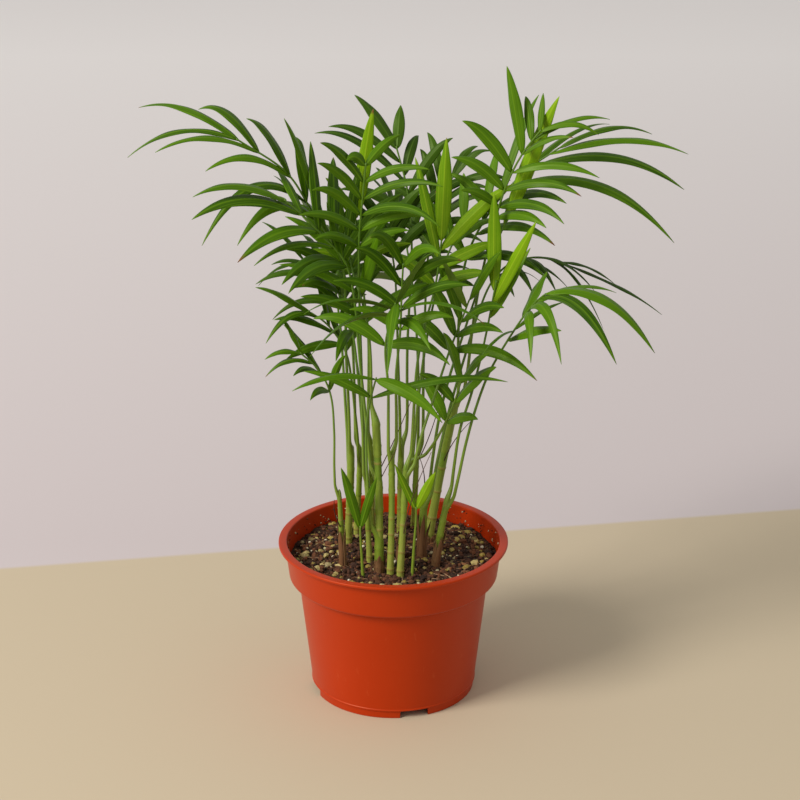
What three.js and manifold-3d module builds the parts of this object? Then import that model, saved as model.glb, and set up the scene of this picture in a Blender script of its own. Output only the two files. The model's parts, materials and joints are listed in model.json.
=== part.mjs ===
// Potted parlour palm: a nursery pot, its soil, the canes that stand in the soil and the fronds they carry.
// Millimetres, +Z up, origin on the surface under the middle of the pot.
import * as THREE from 'three';
import { mergeVertices } from 'three/addons/utils/BufferGeometryUtils.js';
import Module from 'manifold-3d';

const wasm = await Module();
wasm.setup();

// Pot
const RIM_DIAMETER = 165;
const POT_HEIGHT = 114;
const LIP_WIDTH = 4.5;
const LIP_THICKNESS = 2.2;
const BAND_HEIGHT = 27.4;
const BAND_DRAW = 3;
const SHOULDER_STEP = 6.5;
const SHOULDER_ROUND = 1.5;
const BODY_DRAW = 9;
const POT_WALL = 1.5;
const FLOOR_THICKNESS = 1.8;
const FLOOR_RISE = 5.5;
const PAD_DIAMETER = 30;
const FOOT_HEIGHT = 6;
const FOOT_INSET = 0.8;
const NOTCH_COUNT = 4;
const NOTCH_WIDTH = 21;
const NOTCH_TURN = 15;
const SLOT_LENGTH = 14;
const SLOT_WIDTH = 6;
const POT_SIDES = 48;

// Soil
const SOIL_DROP = 12;
const SOIL_CROWN = 2;
const PLANT_DEPTH = 8;

// Plant
const LEAF_THICKNESS = 0.8;
const LEAF_ROOT = 4;
const BLADE_SCALE = 0.9;
const STALK_WIDTH = 2.4;
const STALK_STRETCH = 28;
const RIB_TIP_WIDTH = 1.2;
const CANE_SIDES = 8;
const CANE_SWELL = 1;
const FIT_GAP = 0.3;
const LEAF_GAP = 0.4;
const ROOT_OFF = 0.1;

// Levels and radii that follow from the sizes above
const RIM = RIM_DIAMETER / 2;
const BAND_TOP = RIM - LIP_WIDTH;
const BAND_BOTTOM = BAND_TOP - BAND_DRAW;
const BODY_TOP = BAND_BOTTOM - SHOULDER_STEP;
const FOOT = BODY_TOP - BODY_DRAW;
const SHOULDER_Z = POT_HEIGHT - BAND_HEIGHT;
const FLOOR_Z = FLOOR_RISE + FLOOR_THICKNESS;
const SOIL_Z = POT_HEIGHT - SOIL_DROP;

const YOUNG = '#74ab22';
const MATURE = '#3f7d1d';
const OLD = '#2d5c20';
const CANE_GREEN = '#86a648';
const DEAD = '#7d5230';

const object = new THREE.Group();
object.name = 'potted_parlour_palm';

function vec(p) {
  return new THREE.Vector3(p[0], p[1], p[2]);
}

// A point of the plant is given from the middle of the soil's surface.
function above(p) {
  return new THREE.Vector3(p[0], p[1], p[2] + SOIL_Z);
}

function material(colour, roughness) {
  return new THREE.MeshStandardMaterial({ color: colour, roughness, metalness: 0 });
}

// ---------------------------------------------------------------- solids

// Joins the vertices of a closed geometry, turns its faces outward and hands it over as a solid.
function toSolid(geometry) {
  const bare = new THREE.BufferGeometry();
  bare.setAttribute('position', geometry.getAttribute('position'));
  if (geometry.index) bare.setIndex(geometry.index);
  const merged = mergeVertices(bare, 1e-4);
  const place = merged.getAttribute('position').array;
  const index = merged.index.array;
  const faces = [];
  for (let i = 0; i < index.length; i += 3) {
    const [a, b, c] = [index[i], index[i + 1], index[i + 2]];
    if (a !== b && b !== c && c !== a) faces.push(a, b, c);
  }
  if (volume(place, faces) < 0) faces.reverse();
  const mesh = new wasm.Mesh({
    numProp: 3,
    vertProperties: Float32Array.from(place),
    triVerts: Uint32Array.from(faces),
  });
  return new wasm.Manifold(mesh);
}

function volume(place, faces) {
  let sum = 0;
  const [a, b, c] = [new THREE.Vector3(), new THREE.Vector3(), new THREE.Vector3()];
  for (let i = 0; i < faces.length; i += 3) {
    a.fromArray(place, faces[i] * 3);
    b.fromArray(place, faces[i + 1] * 3);
    c.fromArray(place, faces[i + 2] * 3);
    sum += a.dot(b.cross(c)) / 6;
  }
  return sum;
}

function toGeometry(solid) {
  const mesh = solid.getMesh();
  const geometry = new THREE.BufferGeometry();
  geometry.setAttribute('position', new THREE.BufferAttribute(mesh.vertProperties, 3));
  geometry.setIndex(new THREE.BufferAttribute(mesh.triVerts, 1));
  geometry.computeVertexNormals();
  return geometry;
}

// A skin of four- or more-sided rings: bridged ring to ring, closed by caps or drawn to a point.
class Skin {
  constructor() {
    this.place = [];
    this.faces = [];
  }

  ring(points) {
    return points.map((p) => this.place.push(p) - 1);
  }

  quad(a, b, c, d) {
    this.faces.push(a, b, c, a, c, d);
  }

  // The last side is split along its other diagonal, so that the two broad faces of a leaflet bend alike.
  side(a, b, i) {
    const j = (i + 1) % a.length;
    if (j === 0) this.quad(a[j], b[j], b[i], a[i]);
    else this.quad(a[i], a[j], b[j], b[i]);
  }

  bridge(a, b, open = []) {
    for (let i = 0; i < a.length; i += 1) {
      if (!open.includes(i)) this.side(a, b, i);
    }
  }

  cap(a) {
    for (let i = 1; i < a.length - 1; i += 1) this.faces.push(a[0], a[i], a[i + 1]);
  }

  point(a, tip) {
    const [top] = this.ring([tip]);
    for (let i = 0; i < a.length; i += 1) this.faces.push(a[i], a[(i + 1) % a.length], top);
  }

  geometry() {
    const geometry = new THREE.BufferGeometry();
    geometry.setAttribute('position', new THREE.Float32BufferAttribute(this.place.flatMap((p) => p.toArray()), 3));
    geometry.setIndex(this.faces);
    return geometry;
  }

  solid() {
    return toSolid(this.geometry());
  }
}

// ---------------------------------------------------------------- pot and soil

function lathe(profile) {
  const points = profile.map((p) => new THREE.Vector2(p[0], p[1]));
  return toSolid(new THREE.LatheGeometry(points, POT_SIDES).rotateX(Math.PI / 2));
}

// A box whose middle stands at a radius and height, turned about the pot's axis.
function boxAt(radius, width, depth, low, high, turn) {
  const box = new THREE.BoxGeometry(depth, width, high - low);
  box.translate(radius, 0, (low + high) / 2);
  box.rotateZ(turn);
  return toSolid(box);
}

function wallInside(z) {
  const low = SHOULDER_Z + POT_WALL;
  if (z < low) return FOOT - POT_WALL + (BODY_DRAW * (z - FLOOR_Z)) / (low - FLOOR_Z);
  return BAND_BOTTOM - POT_WALL + (BAND_DRAW * (z - low)) / (POT_HEIGHT - low);
}

function makePot() {
  let pot = lathe([
    [0, 0],
    [PAD_DIAMETER / 2, 0],
    [PAD_DIAMETER / 2, FLOOR_RISE],
    [FOOT - FOOT_INSET - POT_WALL, FLOOR_RISE],
    [FOOT - FOOT_INSET - POT_WALL, 0],
    [FOOT - FOOT_INSET, 0],
    [FOOT - FOOT_INSET, FOOT_HEIGHT],
    [FOOT, FOOT_HEIGHT],
    [BODY_TOP, SHOULDER_Z],
    [BAND_BOTTOM - SHOULDER_ROUND, SHOULDER_Z],
    [BAND_BOTTOM, SHOULDER_Z + SHOULDER_ROUND],
    [BAND_TOP, POT_HEIGHT - LIP_THICKNESS],
    [RIM, POT_HEIGHT - LIP_THICKNESS],
    [RIM, POT_HEIGHT],
    [BAND_TOP - POT_WALL, POT_HEIGHT],
    [BAND_BOTTOM - POT_WALL, SHOULDER_Z + POT_WALL],
    [BODY_TOP - POT_WALL, SHOULDER_Z + POT_WALL],
    [FOOT - POT_WALL, FLOOR_Z],
    [0, FLOOR_Z],
  ]);
  for (let i = 0; i < NOTCH_COUNT; i += 1) {
    const turn = ((NOTCH_TURN - 90) * Math.PI) / 180 + (2 * Math.PI * i) / NOTCH_COUNT;
    const slotRadius = FOOT - POT_WALL - FOOT_INSET - SLOT_WIDTH;
    pot = pot.subtract(boxAt(FOOT, NOTCH_WIDTH, 4 * POT_WALL, -1, FLOOR_RISE, turn));
    pot = pot.subtract(boxAt(slotRadius, SLOT_LENGTH, SLOT_WIDTH, FLOOR_RISE - 1, FLOOR_Z + 1, turn));
  }
  return pot;
}

function makeSoil() {
  const low = SHOULDER_Z + POT_WALL + FIT_GAP;
  const edge = SOIL_Z - SOIL_CROWN;
  return lathe([
    [0, FLOOR_Z + FIT_GAP],
    [FOOT - POT_WALL - FIT_GAP, FLOOR_Z + FIT_GAP],
    [BODY_TOP - POT_WALL - FIT_GAP, low],
    [wallInside(low) - FIT_GAP, low],
    [wallInside(edge) - FIT_GAP, edge],
    [wallInside(edge) * 0.7, SOIL_Z - SOIL_CROWN / 3],
    [0, SOIL_Z],
  ]);
}

// ---------------------------------------------------------------- growing room

// Everything that has grown, as small solids with their boxes. A new piece may not touch any of them.
const grown = [];

function boxOf(skin) {
  return new THREE.Box3().setFromPoints(skin.place);
}

function settle(skin, owner, from = 9, to = 9) {
  grown.push({ box: boxOf(skin), solid: skin.solid(), owner, from, to });
}

function isClear(skin, ignore) {
  const box = boxOf(skin);
  const near = grown.filter((other) => other.box.intersectsBox(box) && !ignore(other));
  if (near.length === 0) return true;
  const solid = skin.solid();
  let clear = true;
  for (const other of near) {
    const shared = solid.intersect(other.solid);
    clear = shared.isEmpty();
    shared.delete();
    if (!clear) break;
  }
  solid.delete();
  return clear;
}

// ---------------------------------------------------------------- canes

const canes = {};

function round(centre, tangent, radius, sides, turn) {
  const side = new THREE.Vector3(0, 1, 0).cross(tangent).normalize();
  const front = tangent.clone().cross(side);
  const points = [];
  for (let i = 0; i < sides; i += 1) {
    const angle = turn + (2 * Math.PI * i) / sides;
    const p = centre.clone();
    p.addScaledVector(side, Math.cos(angle) * radius).addScaledVector(front, Math.sin(angle) * radius);
    points.push(p);
  }
  return points;
}

function caneSkin(cane, extra) {
  const skin = new Skin();
  let last = null;
  for (const u of cane.stations) {
    const centre = cane.curve.getPointAt(u);
    const radius = cane.radius(u) + extra;
    const ring = skin.ring(round(centre, cane.curve.getTangentAt(u), radius, CANE_SIDES, 0));
    if (last) skin.bridge(last, ring);
    else skin.cap([...ring].reverse());
    last = ring;
  }
  skin.cap(last);
  return skin;
}

// A cane stands PLANT_DEPTH deep in the soil. Its foot is a little swollen and it thins to its top.
function growCane(name, colour, foot, top, points) {
  const path = points.map(above);
  const down = path[0].clone();
  down.z -= PLANT_DEPTH;
  const curve = new THREE.CatmullRomCurve3([down, ...path], false, 'centripetal');
  const planted = PLANT_DEPTH / curve.getLength();
  const radius = (u) => {
    const swell = Math.max(0, 1 - (2 * u) / (5 * planted));
    return foot + (top - foot) * u + CANE_SWELL * swell * 0.5;
  };
  const stations = [0, planted, planted + (1 - planted) * 0.3, planted + (1 - planted) * 0.65, 1];
  const cane = { name, curve, radius, stations };
  const skin = caneSkin(cane, 0);
  settle(skin, name);
  canes[name] = cane;
  addMesh(name, skin.geometry(), colour, 0.55);
}

function addMesh(name, geometry, colour, roughness) {
  const solid = geometry.index && geometry.getAttribute('normal') ? geometry : toGeometry(toSolid(geometry));
  const mesh = new THREE.Mesh(solid, material(colour, roughness));
  mesh.name = name;
  object.add(mesh);
}

// ---------------------------------------------------------------- fronds

// Corners of the midrib's section: 0 right under, 1 right over, 2 left over, 3 left under.
const RIGHT = 0;
const LEFT = 2;
const END = 4;

function section(centre, frame, half) {
  const corner = (b, n) => centre.clone().addScaledVector(frame.side, b * half).addScaledVector(frame.face, n * half);
  return [corner(1, -1), corner(1, 1), corner(-1, 1), corner(-1, -1)];
}

// The face of a leaf looks along `face` as nearly as the direction of the midrib lets it.
function frameAt(axis, u) {
  const tangent = axis.curve.getTangentAt(u);
  const face = axis.face.clone().addScaledVector(tangent, -axis.face.dot(tangent)).normalize();
  return { tangent, face, side: tangent.clone().cross(face) };
}

function halfWidth(axis, u) {
  return (axis.width + (RIB_TIP_WIDTH - axis.width) * u) / 2;
}

// The stalk's foot lies against its cane, at a height on it and on the side named by `turn`.
function makeAxis(leaf, turn, shift) {
  const cane = canes[leaf.cane];
  const height = THREE.MathUtils.clamp(leaf.at, 0.05, 0.97);
  const seat = cane.curve.getPointAt(height);
  const points = [...leaf.stalk, ...leaf.rib].map(above);
  const out = points[0].clone().sub(seat).setZ(0).normalize();
  out.applyAxisAngle(new THREE.Vector3(0, 0, 1), turn);
  const half = leaf.width / 2;
  const lean = cane.curve.getTangentAt(height);
  const foot = seat.clone().addScaledVector(out, cane.radius(height) + FIT_GAP + half * Math.SQRT2);
  const beside = foot.clone().addScaledVector(lean, 10).addScaledVector(out, 0.6);
  const moved = points.map((p, i) => p.clone().addScaledVector(shift, (i + 1) / points.length));
  const curve = new THREE.CatmullRomCurve3([foot, beside, ...moved], false, 'centripetal');
  const ribStart = moved[leaf.stalk.length];
  let start = 0;
  let least = Infinity;
  for (let u = 0.05; u < 1; u += 0.005) {
    const away = curve.getPointAt(u).distanceTo(ribStart);
    if (away < least) {
      least = away;
      start = u;
    }
  }
  return { curve, start, length: curve.getLength(), width: leaf.width, face: vec(leaf.face) };
}

// The stalk and midrib in short stretches, so that neighbours can be tested one by one. The foot keeps less
// room than the rest, because it lies against its cane.
function axisPieces(axis, extra) {
  const pieces = [];
  const { stations } = axis;
  for (let i = 0; i < stations.length - 1; i += 2) {
    const skin = new Skin();
    const part = stations.slice(i, i + 3);
    let last = null;
    for (const u of part) {
      const half = halfWidth(axis, u) + extra * (u === 0 ? 0.3 : 1);
      const ring = skin.ring(section(axis.curve.getPointAt(u), frameAt(axis, u), half));
      if (last) skin.bridge(last, ring);
      else skin.cap([...ring].reverse());
      last = ring;
    }
    skin.cap(last);
    pieces.push({ skin, from: part[0], to: part[part.length - 1] });
  }
  return pieces;
}

const TURNS = [0, 30, -30, 60, -60, 90, -90, 125, -125];
const SHIFT_STEP = 3;

function growAxis(leaf) {
  for (let ring = 0; ring < 6; ring += 1) {
    for (const turn of TURNS) {
      const angle = (turn * Math.PI) / 90 + ring;
      const shift = new THREE.Vector3(Math.cos(angle), Math.sin(angle), 0).multiplyScalar(ring * SHIFT_STEP);
      const axis = makeAxis(leaf, (turn * Math.PI) / 180, shift);
      planLeaf(leaf, axis);
      if (axisPieces(axis, LEAF_GAP).every((piece) => isClear(piece.skin, () => false))) return axis;
    }
  }
  throw new Error(`no room for the stalk of ${leaf.name}`);
}

// Its face turns from the way of the whole leaf toward the light above.
const FACE_PULL = 1;
const SKYWARD = new THREE.Vector3(0, 0, 0.8);

// A leaflet arches from its root on the midrib to its tip: two sections between root and tip.
const STATIONS = [0.36, 0.7];
const SPREAD = [1, 0.74];

function leafletRings(root, tip, frame, leaflet, extra) {
  const span = tip.clone().sub(root);
  const length = span.length();
  const crown = root.clone().add(tip).multiplyScalar(0.5);
  crown.z += 2 * leaflet.arch * length;
  const curve = new THREE.QuadraticBezierCurve3(root, crown, tip);
  return STATIONS.map((u, k) => {
    const along = curve.getTangent(u);
    const over = frame.face.clone().multiplyScalar(FACE_PULL).add(SKYWARD);
    over.addScaledVector(along, -over.dot(along)).normalize();
    const across = along.clone().cross(over).multiplyScalar(leaflet.side === RIGHT ? -1 : 1);
    const wide = (leaflet.width * BLADE_SCALE * SPREAD[k]) / 2 + extra;
    const thick = LEAF_THICKNESS / 2 + extra;
    const centre = curve.getPoint(u);
    const at = (w, t) => centre.clone().addScaledVector(across, w * wide).addScaledVector(over, t * thick);
    return { back: [at(-1, -1), at(-1, 1)], front: [at(1, 1), at(1, -1)] };
  });
}

// The four corners of a section, in the order of the opening in the midrib that the leaflet grows from.
function ordered(rings, side) {
  if (side === END) return rings.map((r) => [r.front[1], r.front[0], r.back[1], r.back[0]]);
  if (side === RIGHT) return rings.map((r) => [r.back[0], r.back[1], r.front[0], r.front[1]]);
  return rings.map((r) => [r.back[1], r.back[0], r.front[1], r.front[0]]);
}

// Four of the eight corners of two neighbouring sections: those of the face on one side, or at the end.
function leafletRim(a, b, side) {
  if (side === END) return [...b];
  return [a[side], a[side + 1], b[side + 1], b[side]];
}

// Where a leaflet's own midrib starts.
function rootOf(axis, u, side) {
  if (side === END) return axis.curve.getPointAt(u + LEAF_ROOT / 2 / axis.length);
  const root = axis.curve.getPointAt(u);
  return root.addScaledVector(frameAt(axis, u).side, (side === RIGHT ? 1 : -1) * halfWidth(axis, u));
}

// The opening in the midrib that a leaflet grows from, as its four corners.
function rimCorners(axis, u, side, extra, off = 0) {
  const step = LEAF_ROOT / 2 / axis.length;
  const [a, b] = [u - step, u + step].map((at) =>
    section(axis.curve.getPointAt(at), frameAt(axis, at), halfWidth(axis, at)),
  );
  const corners = leafletRim(a, b, side);
  const middle = new THREE.Vector3();
  for (const p of corners) middle.addScaledVector(p, 0.25);
  const frame = frameAt(axis, u);
  const out = side === END ? frame.tangent.multiplyScalar(off) : frame.side.multiplyScalar(side === RIGHT ? off : -off);
  return corners.map((p) => p.clone().add(out).add(p.clone().sub(middle).setLength(Math.max(extra, 1e-6))));
}

function leafletSkin(axis, root, tip, frame, leaflet, extra, off) {
  const skin = new Skin();
  let last = skin.ring(rimCorners(axis, leaflet.u, leaflet.side, extra, off));
  skin.cap([...last].reverse());
  for (const corners of ordered(leafletRings(root, tip, frame, leaflet, extra), leaflet.side)) {
    const ring = skin.ring(corners);
    skin.bridge(last, ring);
    last = ring;
  }
  const end = tip.clone().add(tip.clone().sub(root).setLength(Math.max(extra, 1e-6)));
  skin.point(last, end);
  return skin;
}

// The blade alone, from its first section outward.
function bladeSkin(root, tip, frame, leaflet, extra) {
  const skin = new Skin();
  const [a, b] = ordered(leafletRings(root, tip, frame, leaflet, extra), leaflet.side).map((c) => skin.ring(c));
  skin.cap([...a].reverse());
  skin.bridge(a, b);
  skin.point(b, tip);
  return skin;
}

// Small turns that a leaflet tries, in degrees: swing in the plane of the leaf, then lift out of it.
const TRIES = [];
for (let reach = 0; reach <= 30; reach += 5) {
  for (const [a, b] of [[0, 1], [1, 0], [0, -1], [-1, 0], [1, 1], [-1, -1], [1, -1], [-1, 1]]) {
    if (reach > 0 || TRIES.length === 0) TRIES.push([a * reach, b * reach]);
  }
}

function growLeaflet(leaf, root, frame, leaflet) {
  const reach = leaflet.tip.clone().sub(root);
  const { u } = leaflet;
  const mine = (other) => other.owner === leaf.name && other.from < u + 0.06 && other.to > u - 0.06;
  const others = (other) => !mine(other);
  const room = leaflet.side === END ? ROOT_OFF : LEAF_GAP;
  for (let size = 1; size > 0.3; size *= 0.88) {
    for (const [swing, lift] of TRIES) {
      const turned = reach.clone().multiplyScalar(size);
      turned.applyAxisAngle(frame.face, (swing * Math.PI) / 180);
      turned.applyAxisAngle(frame.tangent, (lift * Math.PI) / 180);
      const tip = root.clone().add(turned);
      if (!isClear(bladeSkin(root, tip, frame, leaflet, LEAF_GAP), () => false)) continue;
      if (!isClear(leafletSkin(leaf.axis, root, tip, frame, leaflet, 0, ROOT_OFF), others)) continue;
      if (isClear(leafletSkin(leaf.axis, root, tip, frame, leaflet, room), mine)) {
        settle(leafletSkin(leaf.axis, root, tip, frame, leaflet, 0), leaf.name);
        return { ...leaflet, tip };
      }
    }
  }
  return null;
}

// Leaflets that no tip is given for: a wide angle low on the midrib, closing toward its end.
function freeLeaflet(leaf, axis, t, side, order) {
  const u = axis.start + (1 - axis.start) * t;
  const frame = frameAt(axis, u);
  const wave = Math.sin(order * 2.4 + leaf.rib[0][0]);
  const angle = ((66 - 34 * t + 5 * wave) * Math.PI) / 180;
  const length = leaf.longest * (0.62 + 0.38 * Math.sin(Math.PI * (0.2 + 0.6 * t))) * (1 + 0.07 * wave);
  const turn = side === RIGHT ? 1 : -1;
  const reach = frame.tangent.clone().multiplyScalar(Math.cos(angle));
  reach.addScaledVector(frame.side, turn * Math.sin(angle)).addScaledVector(frame.face, 0.16);
  reach.setLength(length);
  reach.z -= leaf.droop * length;
  const tip = axis.curve.getPointAt(u).add(reach);
  return { t, side, tip, width: leaf.blade, arch: 0.06 + 0.6 * leaf.droop };
}

function givenLeaflets(leaf, axis) {
  const list = [];
  for (const [t, x, y, z, width, arch] of leaf.tips ?? []) {
    const u = axis.start + (1 - axis.start) * Math.min(t, 1);
    const frame = frameAt(axis, u);
    const tip = above([x, y, z]);
    const lean = tip.clone().sub(axis.curve.getPointAt(u)).dot(frame.side);
    list.push({ t, tip, width, arch: arch ?? 0.12, lean, side: t > 1 ? END : lean > 0 ? RIGHT : LEFT });
  }
  // Of two leaflets that share a place and a side, the one that leans less goes on from the end of the
  // midrib, or takes the other side where the midrib goes on.
  for (const one of list) {
    const twin = list.find((l) => l !== one && l.t === one.t && l.side === one.side);
    if (!twin) continue;
    const less = Math.abs(one.lean) < Math.abs(twin.lean) ? one : twin;
    const last = one.t === 1 && !list.some((l) => l.side === END);
    if (last) less.side = END;
    else less.side = less.side === RIGHT ? LEFT : RIGHT;
  }
  return list;
}

// Sets the places along the midrib where leaflets grow and the stations of every section of the axis.
function planLeaf(leaf, axis) {
  const leaflets = givenLeaflets(leaf, axis);
  for (let i = 0; i < leaf.pairs; i += 1) {
    const t = leaf.pairs === 1 ? 1 : i / (leaf.pairs - 1);
    for (const side of [RIGHT, LEFT]) {
      const beside = (l) => l.side === side || l.side === END;
      const taken = leaflets.some((l) => beside(l) && Math.abs(l.t - t) < 0.5 / leaf.pairs + 0.02);
      if (!taken) leaflets.push(freeLeaflet(leaf, axis, t, side, i));
    }
  }
  // Leaflets whose roots nearly meet share one place, one on each side.
  const places = [];
  const near = (LEAF_ROOT + 1.5) / (axis.length * (1 - axis.start));
  leaflets.sort((a, b) => a.t - b.t || a.side - b.side);
  for (const l of leaflets) {
    const last = places[places.length - 1];
    const joins = last && l.side !== END && l.t - last.t < near * 0.9 && !last[l.side];
    if (joins) last[l.side] = l;
    else places.push({ t: Math.max(l.t, last ? last.t + near : 0), [l.side]: l });
  }
  const most = Math.max(1, places[places.length - 1].t);
  const step = LEAF_ROOT / 2 / axis.length;
  const end = 1 - step - 0.5 / axis.length;
  for (const place of places) place.u = axis.start + ((end - axis.start) * place.t) / most;

  const first = places[0].u - step;
  const bare = Math.max(2, Math.round((first * axis.length) / STALK_STRETCH));
  axis.stations = [];
  for (let i = 0; i < bare; i += 1) axis.stations.push((first * i) / bare);
  for (const place of places) axis.stations.push(place.u - step, place.u + step);
  axis.places = places;
  axis.bare = bare;
}

function growLeaf(leaf) {
  const { axis } = leaf;
  const { places, stations, bare } = axis;
  const skin = new Skin();
  const rings = stations.map((u) =>
    skin.ring(section(axis.curve.getPointAt(u), frameAt(axis, u), halfWidth(axis, u))),
  );
  const open = rings.map(() => []);
  places.forEach((place, index) => {
    const [before, after] = [rings[bare + 2 * index], rings[bare + 2 * index + 1]];
    const frame = frameAt(axis, place.u);
    for (const side of [RIGHT, LEFT, END]) {
      if (!place[side]) continue;
      const root = rootOf(axis, place.u, side);
      const leaflet = growLeaflet(leaf, root, frame, { ...place[side], u: place.u });
      if (!leaflet) continue;
      open[bare + 2 * index + (side === END ? 1 : 0)].push(side);
      let last = leafletRim(before, after, side);
      for (const corners of ordered(leafletRings(root, leaflet.tip, frame, leaflet, 0), side)) {
        const ring = skin.ring(corners);
        skin.bridge(last, ring);
        last = ring;
      }
      skin.point(last, leaflet.tip);
    }
  });
  skin.cap([...rings[0]].reverse());
  for (let i = 0; i < rings.length - 1; i += 1) skin.bridge(rings[i], rings[i + 1], open[i]);
  if (!open[rings.length - 1].includes(END)) skin.cap(rings[rings.length - 1]);
  addMesh(leaf.name, skin.geometry(), leaf.colour, 0.45);
}

// ---------------------------------------------------------------- the plant

growCane('cane_01', DEAD, 2.2, 1.4, [[-36, -18, 0], [-37, -18, 30], [-38, -18, 58]]);
growCane('cane_02', CANE_GREEN, 2.9, 2.3, [[-33, 21, 0], [-31, 15, 45], [-30, 12, 80]]);
growCane('cane_03', CANE_GREEN, 2.3, 1.8, [[-27, 36, 0], [-25, 31, 40], [-24, 28, 70]]);
growCane('cane_04', CANE_GREEN, 3.1, 2.5, [[-10, -30, 0], [-10, -30, 60], [-12, -30, 118]]);
growCane('cane_05', CANE_GREEN, 2.4, 2, [[-2, -34, 0], [-1, -33, 45], [-1, -33, 92]]);
growCane('cane_06', CANE_GREEN, 2.5, 1.9, [[5, -37, 0], [7, -35, 40], [9, -33, 84]]);
growCane('cane_07', DEAD, 3.2, 2.4, [[20, -6, 0], [21, -6, 25], [22, -5, 48]]);
growCane('cane_08', CANE_GREEN, 3.3, 2.8, [[26, 21, 0], [32, 21, 42], [44, 18, 110]]);
growCane('cane_09', DEAD, 2.6, 2, [[30, -20, 0], [34, -20, 28], [38, -20, 52]]);
growCane('cane_10', CANE_GREEN, 2.3, 1.9, [[-16, 40, 0], [-16, 37, 40], [-16, 35, 74]]);
growCane('cane_11', CANE_GREEN, 2.5, 2, [[5, 39, 0], [5, 39, 40], [6, 39, 74]]);
growCane('cane_12', CANE_GREEN, 2.3, 1.8, [[15, 48, 0], [16, 47, 30], [17, 46, 60]]);
growCane('cane_13', CANE_GREEN, 2.1, 1.7, [[-17, -13, 0], [-18, -12, 30], [-18, -11, 62]]);
growCane('cane_14', CANE_GREEN, 2.3, 1.9, [[5, -10, 0], [8, -9, 40], [10, -8, 76]]);

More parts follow.
